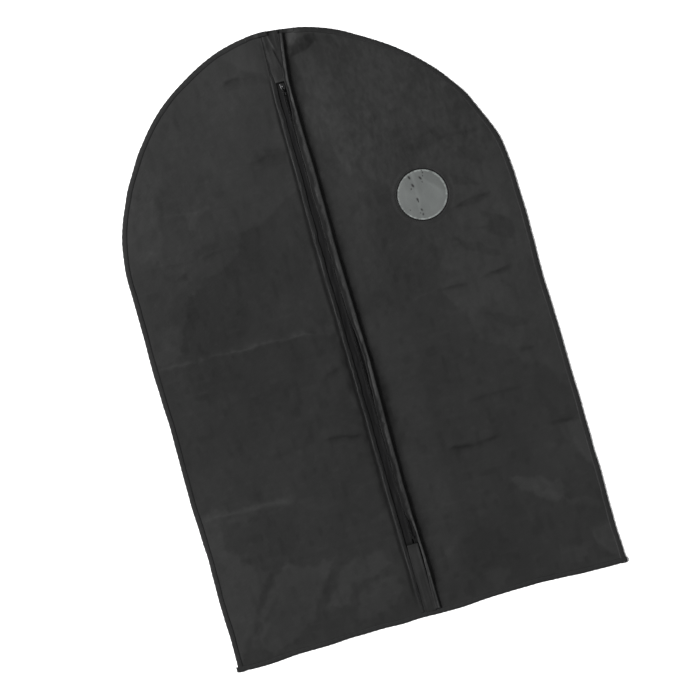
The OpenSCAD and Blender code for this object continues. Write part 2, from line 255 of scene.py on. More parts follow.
def line_dist(x, y, pts):
    """Distance to a polyline, signed by side, and the share of its length at the nearest point."""
    best = np.full(np.shape(x), 1e9)
    sign = np.zeros(np.shape(x))
    share = np.zeros(np.shape(x))
    seg = [math.dist(pts[i], pts[i + 1]) for i in range(len(pts) - 1)]
    total, run = sum(seg), 0.0
    for i in range(len(pts) - 1):
        (ax, ay), (bx, by) = pts[i], pts[i + 1]
        dx, dy = bx - ax, by - ay
        t = np.clip(((x - ax) * dx + (y - ay) * dy) / (dx * dx + dy * dy), 0, 1)
        px, py = ax + t * dx, ay + t * dy
        d = np.hypot(x - px, y - py)
        near = d < best
        best = np.where(near, d, best)
        sign = np.where(near, np.sign(dx * (y - py) - dy * (x - px)), sign)
        share = np.where(near, (run + t * seg[i]) / total, share)
        run += seg[i]
    return best, sign, share


def crease(x, y, pts, amp, w_left, w_right, ends=0.20, core=0.9):
    """A fold left by packing: a crest that falls away over w_left on the left of its path and w_right on its right.
    The short side is the one that shows."""
    wob = 1.9 * N2(x, y, 30) + 1.1 * N3(x, y, 12) + 0.7 * N4(x, y, 6)
    d, s, t = line_dist(x, y + wob, pts)
    fade = sstep(t / ends) * sstep((1 - t) / ends)
    mod = np.clip(0.78 + 0.6 * N4(x, y, 30) + 0.16 * N5(x, y, 11), 0.1, 1.6)
    w = np.where(s > 0, w_left, w_right)
    far = 70.0
    return amp * np.exp(-(np.sqrt(d * d + core * core) - core) / w) * fade * mod * np.clip(1 - d / far, 0, 1)


B, D = (2.6, 15), (15, 2.6)        # bright (steep towards the top) and dark (steep towards the bottom), for paths from left to right
CREASES = [
    # left half
    ([(-232, 462), (-190, 463), (-150, 461), (-110, 460), (-70, 457), (-40, 452), (-19, 446)], 1.10, *B, 0.05),
    ([(-298, 466), (-262, 464), (-225, 462)], 0.75, *B, 0.2),
    ([(-298, 229), (-262, 230), (-225, 228), (-190, 229), (-144, 221)], 0.55, *B, 0.1),
    ([(-297, 613), (-240, 612), (-200, 611), (-160, 612), (-118, 610)], 0.38, *D),
    ([(-262, 686), (-225, 684), (-190, 681), (-150, 677)], 0.45, *B),
    ([(-86, 298), (-55, 296), (-22, 291)], 1.0, *D, 0.22),
    ([(-176, 297), (-150, 295), (-132, 296)], 0.35, *D),
    ([(-191, 652), (-182, 668), (-168, 678), (-148, 680)], 0.8, 4, 14),
    ([(-250, 574), (-232, 588), (-205, 600), (-186, 612), (-160, 628)], 0.6, 16, 5),
    ([(-262, 548), (-236, 566), (-204, 586), (-176, 592)], 0.6, 5, 14),
    ([(-162, 812), (-159, 826), (-161, 846)], 0.5, 14, 3.5),
    ([(-82, 724), (-50, 730), (-22, 726)], 0.6, *D),
    ([(-88, 846), (-60, 852), (-26, 848)], 0.6, *D),
    ([(-75, 830), (-62, 842), (-50, 860)], 0.5, 12, 5),
    ([(-272, 624), (-254, 634), (-236, 632)], 0.55, *B),
    ([(-60, 388), (-44, 392), (-24, 398)], 0.4, *D),
    ([(-66, 200), (-48, 216), (-22, 224)], 0.35, *B),
    # right half
    ([(82, 235), (104, 234), (140, 232), (176, 233)], 1.3, *D, 0.22),
    ([(182, 229), (215, 228), (262, 222)], 0.6, *B),
    ([(236, 231), (262, 230), (296, 226)], 0.7, *D),
    ([(134, 297), (160, 296), (190, 295), (224, 294)], 1.05, *D, 0.18),
    ([(132, 465), (160, 466), (196, 465)], 0.6, *D),
    ([(206, 466), (230, 470), (258, 473)], 0.85, *D),
    ([(190, 580), (216, 582), (262, 587)], 0.7, *D),
    ([(138, 690), (165, 689), (195, 686), (228, 682), (258, 678)], 0.8, 15, 5),
    ([(228, 348), (262, 347)], 0.3, *D),
    ([(96, 460), (118, 466), (150, 464)], 0.5, *B),
    ([(162, 170), (182, 160), (212, 138), (240, 116), (262, 98), (292, 70)], 1.1, 20, 6),
    ([(168, 160), (196, 126), (222, 100), (246, 92)], 0.7, 8, 14),
    # wedges beside the window
    ([(206, 636), (226, 618), (250, 592)], 1.0, 14, 4),
    ([(214, 652), (240, 642), (276, 612)], 0.7, 5, 12),
    ([(200, 560), (222, 552), (256, 538)], 0.9, 14, 4),
    ([(200, 522), (226, 506), (258, 486)], 1.0, 14, 4),
    ([(206, 604), (232, 600), (262, 590)], 0.6, 12, 4),
    ([(212, 430), (238, 418), (262, 396)], 0.7, 13, 4),
    ([(220, 382), (246, 372), (268, 352)], 0.6, 12, 5),
    ([(146, 548), (152, 505), (150, 462)], 0.6, 16, 8),
    ([(182, 556), (190, 520), (196, 470)], 0.6, 8, 14),
    # lower left streaks
    ([(-286, 22), (-262, 44), (-236, 70), (-212, 100), (-200, 118)], 0.7, 16, 6),
    ([(-270, 30), (-252, 42), (-237, 56)], 0.5, 6, 9),
    ([(-182, 36), (-164, 58), (-142, 88), (-118, 120)], 0.7, 16, 6),
    ([(-150, 44), (-124, 62), (-98, 84), (-62, 98)], 0.5, 14, 7),
    ([(-112, 46), (-82, 56), (-46, 62)], 0.6, 7, 12),
    ([(-240, 18), (-214, 30), (-190, 34)], 0.45, 7, 9),
    ([(84, 44), (112, 34), (142, 16)], 0.5, 6, 9),
    ([(190, 38), (220, 30), (244, 16)], 0.5, 6, 9),
    ([(46, 92), (58, 84), (72, 80)], 0.5, 5, 8),
    # by the hanger opening
    ([(30, 908), (38, 892), (44, 878)], 0.7, 10, 5),
    ([(34, 862), (52, 876), (74, 892)], 0.8, 14, 5),
    ([(-26, 906), (-17, 888), (-12, 868)], 0.6, 10, 5),
]

# where the cloth is a little lighter in the light: broad tilts of the surface, as (x, y, rx, ry, height)
BUMPS = [
    (-215, 700, 110, 130, 1.3), (-60, 780, 90, 90, -0.5), (-245, 520, 60, 90, 0.9), (-140, 380, 120, 90, -0.7),
    (-80, 560, 70, 110, -0.6), (-180, 150, 90, 60, 0.6), (-255, 320, 50, 110, 0.6), (80, 820, 60, 60, -0.5),
    (205, 690, 70, 60, 0.5), (240, 480, 55, 120, 0.9), (110, 480, 70, 110, -0.6), (120, 250, 110, 70, -0.7),
    (255, 190, 50, 90, 0.7), (60, 130, 70, 70, -0.3), (-60, 90, 70, 50, 0.5), (90, 700, 70, 90, 0.45),
]


def wrinkles(x, y):
    """Everything that departs from the smooth lie of the front, in mm."""
    z = np.zeros(np.shape(x))
    for x0, y0, rx, ry, h in BUMPS:
        z = z + h * np.exp(-(((x - x0) / rx) ** 2 + ((y - y0) / ry) ** 2))
    for pts, amp, wl, wr, *ends in CREASES:
        size = sum(math.dist(pts[i], pts[i + 1]) for i in range(len(pts) - 1))
        z = z + 1.5 * min(1.0, max(0.30, size / 150 - 0.15)) * crease(x, y, pts, amp, wl, wr, *(ends or [0.34]))
    # slack of the cloth at three sizes
    z = z + 0.75 * N1.fractal(x, y, 130, 2)
    z = z + 0.26 * N2.fractal(x + 0.4 * y, y * 0.8, 46, 2)
    # crumple: fine ridges, stronger at the upper right and round the window
    zone = 0.35 + 0.65 * np.exp(-(((x - 110) / 130) ** 2 + ((y - 650) / 150) ** 2)) + 0.25 * sstep(-x, 60, 240) * sstep(y, 500, 700)
    rid = 1 - np.abs(N3.fractal(x, y, 26, 2)) * 2.2
    z = z + 0.20 * zone * (rid - 0.4)
    z = z + 0.13 * zone * zone * (N4(x * 1.9, y, 15) + 0.6 * N5(x * 1.4, y + x * 0.3, 8))
    # gathers across the seam
    ds = np.minimum(side_distance(x, y), np.where(y < 400, y, 1e3))
    along = np.where(y < 40, x, y * 1.0 + x * 0.6 * sstep(y, 600, 900))
    z = z + 0.20 * np.exp(-ds / 26) * sstep(ds, 3, 16) * np.sin(along / 5.4 + 3 * N5(x, y, 90)) * (0.5 + 0.5 * N5(x, y, 60))
    return z


def front_z(x, y):
    """Height of the front's upper face, in mm, for the left panel (x below the zip) and the right one."""
    x, y = np.asarray(x, float), np.asarray(y, float)
    rs = rise(x, y)
    lv = 0.95 + 8.25 * rs
    ds = side_distance(x, y)
    xw, _ = warp(x, y)                           # the welts' paths are measured on the bag as it lies
    left = xw < ZIPX
    dl = groove_left_x(y) - xw                   # distance out from the left groove
    dr = xw - (welt_right_x(y) + 1.6)            # distance out from the right welt's drop
    d = np.where(left, dl, dr)
    full = np.maximum(sstep(ds, 6, 60) * sstep(y, 6, 60), mouth(x) * sstep(y, 790, 830))
    top = sstep(y, 858, 884)
    sag = np.maximum(sstep(rs, 0.30, 0.85), top)
    lip = 0.30 * N3(y, y * 0 + 31, 23) + 0.15 * N5(y, y * 0 + 12, 8)
    crack = 1 - sstep(y, 795, 850)
    flank = lerp(4.9, 3.3, sstep(y, 620, 700))
    deep = 1.85 + 0.55 * np.exp(-((y - 345) / 110) ** 2)
    far_l = lerp(1.70, 2.15 + lip, crack)
    hump = np.where(left,
                    lerp(lerp(1.35, far_l - deep, crack), far_l, sstep(dl, 0.1, flank)) - 1.0 * sstep(dl, 8, 95),
                    lerp(0.45, -2.0 + lip, sag) + (0.40 + 2.6 * sag + 0.35 * top * (1 - sstep(dr, 14, 40))) * sstep(dr, lerp(7, 2.5, top), lerp(72, 30, top))
                    + 0.55 * sag * N4(x, y, 7) * np.exp(-np.clip(dr, 0, None) / 8))
    z = lv + lerp(0.75, hump, full)
    quiet = sstep(d, 1, 13) * sstep(ds, 2, 16) * sstep(y, 2, 16)
    z = z + wrinkles(x, y) * quiet * (0.30 + 0.70 * sstep(ds, 10, 60))
    # small tucks that the zip's seam pulls into the cloth beside it
    tuck = 0.28 * np.exp(-np.clip(d, 0, None) / 12) * sstep(d, 1.5, 5)
    z = z + tuck * np.sin(y / 4.3 + 4 * N5(y, x * 0 + 3, 70) + d * 0.12) * (0.4 + 0.6 * N3(y, x * 0, 55))
    # the cloth over the window's edge: a low roll, with a fine line outside it
    rw = np.hypot(x - 159.4, y - 610.4)
    z = z + 0.20 * np.exp(-((rw - 42.0) / 2.2) ** 2) - 0.22 * np.exp(-((rw - 46.0) / 1.6) ** 2)
    floor = 1.30 + 1.05 * sstep(ds, 8, 55) * sstep(y, 8, 55)
    return np.maximum(z, floor)


PAINTED_LIGHT = [   # patches of painted light (painted sheen) on the cloth, as outlines in mm
    ([(3.5, 667), (-24, 667), (-77, 638), (-111, 628), (-134, 601), (-160, 581), (-204, 571), (-224, 558), (-237, 521), (-250, 495),
      (-253, 478), (-335, 468), (-335, 930), (3.5, 930)], 1.0),
    ([(-187, 677), (-157, 674), (-172, 668), (-180, 656), (-187, 660)], 1.0),
    ([(-265, 634), (-238, 636), (-236, 626), (-262, 622)], 0.8),
    ([(-330, 232), (-270, 227), (-270, 189), (-260, 169), (-237, 143), (-217, 133), (-270, 50), (-293, 16), (-330, 0)], 1.1),
    ([(-204, 126), (-187, 139), (-167, 126), (-144, 123), (-117, 126), (-167, 56), (-167, 46), (-190, 30), (-243, 13), (-257, 23), (-250, 63)], 1.3),
    ([(-104, 106), (-81, 113), (-51, 113), (-41, 90), (-64, 80), (-91, 76), (-111, 63), (-117, 50), (-150, 53)], 1.2),
    ([(-97, 56), (-57, 73), (-31, 70), (-27, 50), (-57, 30), (-111, 16)], 0.9),
    ([(-272, 46), (-255, 52), (-258, 36), (-270, 30)], 0.8),
    ([(-134, 18), (-114, 20), (-112, 6), (-130, 4)], 0.7),
    ([(-297, 238), (-147, 231), (-146, 219), (-205, 221), (-217, 216), (-240, 223), (-270, 222), (-297, 226)], 1.0),
    ([(162, 171), (182, 168), (205, 159), (235, 146), (243, 128), (228, 116), (210, 120), (188, 142), (170, 160)], 1.35),
    ([(245, 114), (270, 106), (292, 94), (286, 86), (262, 96), (246, 104)], 0.75),
    ([(255, 222), (335, 229), (335, 136), (288, 156), (278, 182), (268, 199)], 0.9),
    ([(258, 63), (335, 63), (335, 0), (275, 26)], 0.8),
    ([(95, 36), (128, 34), (124, 16), (98, 14)], 0.7),
    ([(208, 43), (242, 41), (238, 22), (206, 24)], 0.7),
    ([(46, 92), (60, 90), (58, 78), (46, 80)], 0.8),
]
# patches of painted shade on the cloth, as outlines in mm
PAINTED_SHADE = [
    ([(-77, 857), (-50, 855), (-48, 838), (-75, 839)], 0.9), ([(-44, 858), (-18, 852), (-16, 832), (-46, 836)], 0.7),
    ([(-71, 731), (-18, 734), (-18, 709), (-60, 712)], 0.8), ([(-163, 834), (-158, 834), (-159, 800), (-164, 802)], 0.7),
    ([(-192, 618), (-152, 630), (-150, 620), (-186, 606)], 0.7), ([(-245, 606), (-210, 600), (-212, 588), (-243, 592)], 0.7),
    ([(144, 690), (170, 695), (205, 694), (222, 686), (212, 678), (180, 676), (150, 681)], 0.95), ([(222, 686), (262, 684), (262, 676), (226, 678)], 0.6), ([(60, 600), (112, 588), (118, 560), (70, 552)], 0.3),
]

# small patches of painted shade and painted light, as outlines in mm with their strength
PAINTED_MARKS = [
    # painted shade on the wrinkle wedges beside and below the window
    ([(209, 628), (231, 617), (249, 602), (243, 600), (232, 606), (210, 612)], -1.0),
    ([(222, 668), (246, 662), (262, 640), (256, 628), (238, 644)], -0.6),
    ([(193, 578), (216, 580), (237, 585), (260, 588), (257, 580), (222, 576)], -0.9),
    ([(231, 574), (235, 562), (260, 552), (277, 539), (275, 507), (249, 521), (234, 536), (208, 546), (222, 543), (241, 540), (246, 548), (233, 556)], -0.95),
    ([(187, 536), (202, 525), (222, 516), (240, 503), (249, 489), (234, 494), (214, 506), (194, 518)], -0.95),
    ([(221, 470), (237, 472), (260, 477), (260, 470), (237, 463)], -1.0),
    ([(233, 458), (246, 452), (252, 441), (243, 445)], -0.8),
    ([(208, 411), (222, 408), (260, 388), (258, 378), (234, 383), (214, 400)], -0.8),
    ([(186, 430), (206, 422), (212, 410), (196, 412)], -0.6),
    ([(216, 354), (252, 349), (258, 344), (234, 343)], -0.6),
    # painted light along the right edge
    ([(270, 224), (292, 228), (297, 226), (297, 150), (287, 157), (278, 180), (273, 200)], 0.8),
    ([(263, 58), (296, 62), (296, 4), (282, 20), (268, 38)], 0.7),
    # painted highlights on folds
    ([(-189, 679), (-150, 682), (-150, 676), (-170, 671), (-178, 662), (-182, 652), (-189, 655)], 1.0),
    ([(-274, 29), (-262, 27), (-236, 56), (-240, 64), (-258, 50)], 0.7),
    ([(-206, 670), (-196, 676), (-190, 664), (-198, 655)], 0.4),
    ([(-228, 236), (-196, 232), (-160, 230), (-160, 226), (-204, 226), (-232, 229)], 0.6),
]


def patch(x, y, pts, soft):
    """1 inside an outline, 0 outside it, with an edge of the given width."""
    d, _, _ = line_dist(x, y, pts + pts[:1])
    inside = np.zeros(np.shape(x), bool)
    for (ax, ay), (bx, by) in zip(pts, pts[1:] + pts[:1]):
        if ay != by:
            inside ^= ((ay > y) != (by > y)) & (x < ax + (y - ay) * (bx - ax) / (by - ay))
    return sstep(np.where(inside, d, -d), -soft / 2, soft / 2)


def tone_and_painted_shading(x, y):
    """Painted light and painted shade on the front's cloth, as a factor on its colour: patches of painted sheen and
    painted shade, painted highlights and shade along the creases, and a little random variation. About 0 for plain, 1
    for lighter cloth.
    """
    wx = x + 13 * N2(x, y, 62) + 5 * N3(x, y, 19) + 2.0 * N4(x, y, 8)
    wy = y + 13 * N4(x, y, 55) + 5 * N5(x, y, 17) + 2.0 * N2(x, y, 7)
    jx, jy = x + 4.5 * N2(x, y, 33) + 3.6 * N4(x, y, 13) + 2.4 * N5(x, y, 5.5), y + 4.5 * N3(x, y, 29) + 3.2 * N5(x, y, 12) + 2.4 * N1(x, y, 6)
    light = np.zeros(np.shape(x))
    for pts, v in PAINTED_LIGHT:
        light = np.maximum(light, v * patch(jx, jy, pts, 6.5)) if v != 0.8 else light + 0.6 * patch(jx, jy, pts, 5)
    dark = np.zeros(np.shape(x))
    for pts, v in PAINTED_SHADE:
        dark = np.maximum(dark, v * patch(jx, jy, pts, 6))
    # painted sheen over the upper right of the right half, beyond a wavy edge, mottled towards the top
    edge = curve(wy, [(240, 300), (272, 270), (309, 254), (340, 226), (368, 199), (415, 180), (450, 150), (520, 143), (560, 130), (640, 96), (690, 52), (740, 34), (911, 28)])
    r = sstep((wx - edge) / 8) * sstep(wy, 250, 290)
    mott = np.clip(0.78 + 0.60 * N3(x * 2.2, y * 1.0, 11) + 0.62 * N5(x * 2.4, y * 1.2, 7) - 0.50 * sstep(N4(x * 1.5, y, 24), 0.15, 0.5), -0.4, 1.4)
    upper = sstep(wy, 600, 700)
    r = r * lerp(0.9 - 0.35 * sstep(N4(x, y, 33), 0.1, 0.5), mott, upper * (x > 0) + 0.35 * (1 - upper))
    # painted highlights along the creases that are steep towards the top, and painted shade along those steep towards
    # the bottom
    fold = 0
    for pts, amp, wl, wr, *ends in CREASES:
        if min(wl, wr) < 3:
            sg = 1.0 if wl < wr else -1.35
            fold = fold + sg * min(1.0, amp + 0.15) * crease(x, y, pts, 1.0, 2.6 if sg > 0 else 1.2, 1.0 if sg > 0 else 3.6, *(ends or [0.3]))
    xt, yt = warp(x, y)
    out = np.where(xt < ZIPX, light, np.maximum(r, light)) - dark
    # broad painted light and painted shade, as (x, y, rx, ry, strength)
    for x0, y0, rx, ry, a in ((-240, 520, 110, 110, -0.60), (-120, 560, 60, 80, -0.25), (-180, 780, 90, 80, -0.12), (-230, 110, 80, 70, -0.45),
                              (120, 780, 130, 120, 0.75), (250, 510, 75, 170, 1.40), (90, 630, 60, 90, 0.60), (90, 400, 60, 70, -0.12), (250, 150, 60, 80, 0.35),
                              (-262, 500, 55, 200, -0.65), (-190, 790, 90, 70, -0.25), (262, 180, 45, 140, 0.35), (-120, 380, 110, 120, -0.22), (-120, 560, 60, 80, -0.15)):
        out = out + a * np.exp(-((x - x0) / rx) ** 2 - ((y - y0) / ry) ** 2)
    out = out - 0.5 * (1 - sstep(N2(x * 1.7, y, 15), -0.75, -0.35)) + 0.35 * sstep(N3(x * 1.2, y * 2.2, 13), 0.42, 0.75)
    # painted shade in ragged bands beside the zip, one left of it and two right of it
    rag = 1 + 0.7 * N4(x, y, 21) + 0.5 * N2(x, y, 8)
    out = out - 0.95 * rag * np.exp(-((xt + 22.5) / 4.2) ** 2) * sstep(y, 150, 190) * (1 - sstep(y, 400, 450))
    out = out - 0.80 * rag * np.exp(-((xt - 26) / 7.0) ** 2) * sstep(y, 255, 300) * (1 - sstep(y, 400, 440))
    out = out - 0.45 * rag * np.exp(-((xt - 22) / 6.0) ** 2) * (0.4 + 0.6 * sstep(N5(0 * x, y, 31), 0, 0.4))
    # painted highlights and painted shade beside the hanger opening
    hx, hy = xt + 0.25 * (jx - x), yt + 0.25 * (jy - y)
    out = out + 2.1 * patch(hx, hy, [(26, 871), (31, 880), (36, 888), (44, 895), (47, 900), (40, 905), (26, 904)], 5)
    out = out + 0.9 * patch(hx, hy, [(29, 882), (33, 884), (42, 895), (40, 901), (33, 894)], 3)
    out = out - 2.0 * patch(hx, hy, [(27, 862), (40, 864), (58, 868), (70, 877), (72, 887), (56, 888), (43, 887), (34, 877)], 3.5)
    out = out - 0.5 * patch(hx, hy, [(20, 822), (34, 824), (33, 842), (30, 860), (24, 862)], 6)
    out = out + 1.0 * patch(xt + 0.3 * (jx - x), yt + 0.3 * (jy - y), [(-16, 902), (-5, 902), (-6, 887), (-11, 892)], 4)
    # small patches of painted shade and painted light, with firmer outlines
    sx, sy = x + 1.8 * N2(x, y, 14) + 1.2 * N4(x, y, 6), y + 1.8 * N3(x, y, 15) + 1.0 * N5(x, y, 6)
    for pts, v in PAINTED_MARKS:
        out = out + v * patch(sx, sy, pts, 3.2)
    return np.clip(out + 1.35 * fold + 0.12 * N2(x, y, 40) + 0.10 * N4(x, y, 9), -1.8, 2.6)


def paint(obj, values, name="tone_and_painted_shading"):
    a = obj.data.attributes.new(name, "FLOAT", "POINT")
    a.data.foreach_set("value", np.asarray(values, np.float32))


def bend(obj, bag_xy):
    """Bakes the object's transform into its mesh."""
    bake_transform(obj)


# ---------------------------------------------------------------- meshes
def to_row(x, y, z, warped=True):
    x, y, z = (np.array(v) for v in np.broadcast_arrays(np.asarray(x, float), y, z))
    if warped:
        x, y = warp(x, y)
    return np.stack([x * MM, (y - MIDY) * MM, z * MM], -1)


def new_object(name, verts, faces, mat, smooth=True):
    me = bpy.data.meshes.new(name)
    verts = np.asarray(verts, float).reshape(-1, 3)
    me.from_pydata(verts.tolist(), [], [list(f) for f in faces])
    me.update()
    if smooth:
        me.polygons.foreach_set("use_smooth", np.ones(len(me.polygons), bool))
    o = bpy.data.objects.new(name, me)
    bpy.context.scene.collection.objects.link(o)
    if mat is not None:
        me.materials.append(mat)
    return o


def outward(o):
    bm = bmesh.new()
    bm.from_mesh(o.data)
    bmesh.ops.recalc_face_normals(bm, faces=bm.faces)
    bm.to_mesh(o.data)
    bm.free()


def shell_from_grid(name, X, Y, Z, t, mat, keep=None, tfun=None):
    """A closed thin shell from a grid of points (rows, columns), t mm thick downwards. keep marks the quads used.
    Returns the object and the bag x, y of each of its vertices."""
    n, m = X.shape
    idx = np.arange(n * m).reshape(n, m)
    q = np.stack([idx[:-1, :-1], idx[:-1, 1:], idx[1:, 1:], idx[1:, :-1]], -1).reshape(-1, 4)
    if keep is not None:
        q = q[keep.reshape(-1)]
    top = q
    low = q[:, ::-1] + n * m
    # boundary edges are those used once
    e = np.concatenate([q[:, [0, 1]], q[:, [1, 2]], q[:, [2, 3]], q[:, [3, 0]]])
    key = np.sort(e, 1)
    _, inv, cnt = np.unique(key, axis=0, return_inverse=True, return_counts=True)
    b = e[cnt[inv.ravel()] == 1]
    walls = np.stack([b[:, 1], b[:, 0], b[:, 0] + n * m, b[:, 1] + n * m], -1)
    faces = np.concatenate([top, low, walls])
    used = np.unique(faces)
    remap = -np.ones(2 * n * m, int)
    remap[used] = np.arange(len(used))
    faces = remap[faces]
    bx = np.concatenate([X.ravel(), X.ravel()])[used]
    by = np.concatenate([Y.ravel(), Y.ravel()])[used]
    zz = np.concatenate([Z.ravel(), (Z - (t if tfun is None else tfun)).ravel()])[used]
    o = new_object(name, to_row(bx, by, zz), faces, mat)
    return o, np.stack([bx, by], -1)


def tube_faces(n_rings, n_sides, closed_ends=True):
    f = []
    for i in range(n_rings - 1):
        for j in range(n_sides):
            k = (j + 1) % n_sides
            f.append((i * n_sides + j, i * n_sides + k, (i + 1) * n_sides + k, (i + 1) * n_sides + j))
    if closed_ends:
        f.append(tuple(range(n_sides))[::-1])
        f.append(tuple((n_rings - 1) * n_sides + j for j in range(n_sides)))
    return f


def strip(name, ys, section, mat, warped=True):
    """A closed strip swept along y. section(y array) gives X, Z of shape (len(ys), k) in bag mm."""
    X, Z = section(ys)
    k = X.shape[1]
    Y = np.repeat(ys[:, None], k, 1)
    o = new_object(name, to_row(X.ravel(), Y.ravel(), Z.ravel(), warped), tube_faces(len(ys), k), mat)
    outward(o)
    return o, np.stack([X.ravel(), Y.ravel()], -1)


def threads(name, P, Q, r, mat, lift=0.0):
    """Stitches: one short rounded thread from each P to each Q (n, 3), in row metres."""
    P, Q = np.asarray(P, float), np.asarray(Q, float)
    n = len(P)
    ax = Q - P
    L = np.linalg.norm(ax, axis=1, keepdims=True)
    ax = ax / np.clip(L, 1e-9, None)
    up = np.tile([0.0, 0.0, 1.0], (n, 1))
    side = np.cross(ax, up)
    side /= np.clip(np.linalg.norm(side, axis=1, keepdims=True), 1e-9, None)
    up = np.cross(side, ax)
    stations = [(0.0, 0.25, -0.55), (0.12, 0.8, 0.1), (0.5, 1.0, 0.5), (0.88, 0.8, 0.1), (1.0, 0.25, -0.55)]
    sides = 6
    V = []
    for t, rr, h in stations:
        c = P + ax * L * t + up * (h * r + lift)
        for j in range(sides):
            a = 2 * math.pi * j / sides
            V.append(c + side * (math.cos(a) * r * rr) + up * (math.sin(a) * r * rr))
    V = np.stack(V, 1)                     # n, rings*sides, 3
    base = tube_faces(len(stations), sides)
    k = V.shape[1]
    faces = []
    for i in range(n):
        faces += [tuple(v + i * k for v in f) for f in base]
    return new_object(name, V.reshape(-1, 3), faces, mat)


def row_to_bag(o):
    co = np.empty(len(o.data.vertices) * 3)
    o.data.vertices.foreach_get("co", co)
    co = co.reshape(-1, 3)
    return np.stack([co[:, 0] / MM, co[:, 1] / MM + MIDY], -1)


# ---------------------------------------------------------------- materials
def nt_new(name):
    m = bpy.data.materials.new(name)
    m.use_nodes = True
    nt = m.node_tree
    return m, nt, nt.nodes["Principled BSDF"]


def node(nt, kind, **kw):
    n = nt.nodes.new(kind)
    for k, v in kw.items():
        setattr(n, k, v)
    return n


def cloth_material(name, base, rough=0.50, weave=0.55, crinkle=1.0, var=0.10, sheen=0.0, weave_mm=0.9, spec=0.085):
    m, nt, bsdf = nt_new(name)
    L = nt.links
    tc = node(nt, "ShaderNodeTexCoord")
    # colour: slow patches and a faint speckle
    n1 = node(nt, "ShaderNodeTexNoise"); n1.inputs["Scale"].default_value = 9.0; n1.inputs["Detail"].default_value = 3
    n2 = node(nt, "ShaderNodeTexNoise"); n2.inputs["Scale"].default_value = 420.0; n2.inputs["Detail"].default_value = 2
    L.new(tc.outputs["Object"], n1.inputs["Vector"]); L.new(tc.outputs["Object"], n2.inputs["Vector"])
    add = node(nt, "ShaderNodeMath", operation="MULTIPLY_ADD")
    L.new(n2.outputs["Fac"], add.inputs[0]); add.inputs[1].default_value = 0.45; L.new(n1.outputs["Fac"], add.inputs[2])
    ramp = node(nt, "ShaderNodeValToRGB")
    lo, hi = [c * (1 - var) for c in base], [c * (1 + var) for c in base]
    ramp.color_ramp.elements[0].position = 0.52; ramp.color_ramp.elements[0].color = (*lo, 1)
    ramp.color_ramp.elements[1].position = 0.92; ramp.color_ramp.elements[1].color = (*hi, 1)
    L.new(add.outputs[0], ramp.inputs[0])
    # the per-vertex attribute scales the colour: it carries painted light and painted shade, with some random variation
    at = node(nt, "ShaderNodeAttribute"); at.attribute_name = "tone_and_painted_shading"
    gain = node(nt, "ShaderNodeMath", operation="MULTIPLY_ADD")
    L.new(at.outputs["Fac"], gain.inputs[0]); gain.inputs[1].default_value = 0.26; gain.inputs[2].default_value = 1.0
    sc = node(nt, "ShaderNodeVectorMath", operation="SCALE")
    L.new(ramp.outputs[0], sc.inputs[0]); L.new(gain.outputs[0], sc.inputs["Scale"])
    L.new(sc.outputs[0], bsdf.inputs["Base Color"])
    # roughness: handled cloth is a little smoother in patches
    n3 = node(nt, "ShaderNodeTexNoise"); n3.inputs["Scale"].default_value = 16.0; n3.inputs["Detail"].default_value = 4
    L.new(tc.outputs["Object"], n3.inputs["Vector"])
    mr = node(nt, "ShaderNodeMapRange"); mr.inputs[1].default_value = 0.3; mr.inputs[2].default_value = 0.7
    mr.inputs[3].default_value = rough - 0.07; mr.inputs[4].default_value = rough + 0.09
    L.new(n3.outputs["Fac"], mr.inputs[0]); L.new(mr.outputs[0], bsdf.inputs["Roughness"])
    # weave: two crossed sets of fine threads
    k = 2 * math.pi / (weave_mm * MM) / 6.2831853 * 1.0
    wx = node(nt, "ShaderNodeTexWave", wave_type="BANDS", bands_direction="X"); wx.inputs["Scale"].default_value = k / 20 * 6.2831853 / 2
    wy = node(nt, "ShaderNodeTexWave", wave_type="BANDS", bands_direction="Y"); wy.inputs["Scale"].default_value = k / 20 * 6.2831853 / 2
    for wv in (wx, wy):
        wv.inputs["Distortion"].default_value = 0.6
        wv.inputs["Detail"].default_value = 1.0
        wv.inputs["Detail Scale"].default_value = 1.5
        L.new(tc.outputs["Object"], wv.inputs["Vector"])
    mx = node(nt, "ShaderNodeMath", operation="MAXIMUM")
    L.new(wx.outputs["Fac"], mx.inputs[0]); L.new(wy.outputs["Fac"], mx.inputs[1])
    b1 = node(nt, "ShaderNodeBump"); b1.inputs["Strength"].default_value = weave; b1.inputs["Distance"].default_value = 0.00010
    L.new(mx.outputs[0], b1.inputs["Height"])
    # crinkle: shallow dents a few millimetres wide
    n4 = node(nt, "ShaderNodeTexNoise"); n4.inputs["Scale"].default_value = 125.0; n4.inputs["Detail"].default_value = 3
    L.new(tc.outputs["Object"], n4.inputs["Vector"])
    b2 = node(nt, "ShaderNodeBump"); b2.inputs["Strength"].default_value = 0.35 * crinkle; b2.inputs["Distance"].default_value = 0.0006
    L.new(n4.outputs["Fac"], b2.inputs["Height"]); L.new(b1.outputs[0], b2.inputs["Normal"])
    n5 = node(nt, "ShaderNodeTexVoronoi", feature="SMOOTH_F1"); n5.inputs["Scale"].default_value = 48.0
    n5.inputs["Smoothness"].default_value = 0.35
    L.new(tc.outputs["Object"], n5.inputs["Vector"])
    b3 = node(nt, "ShaderNodeBump"); b3.inputs["Strength"].default_value = 0.16 * crinkle; b3.inputs["Distance"].default_value = 0.0016
    L.new(n5.outputs["Distance"], b3.inputs["Height"]); L.new(b2.outputs[0], b3.inputs["Normal"])
    L.new(b3.outputs[0], bsdf.inputs["Normal"])
    bsdf.inputs["Sheen Weight"].default_value = sheen
    bsdf.inputs["Sheen Roughness"].default_value = 0.45
    bsdf.inputs["Specular IOR Level"].default_value = spec
    return m


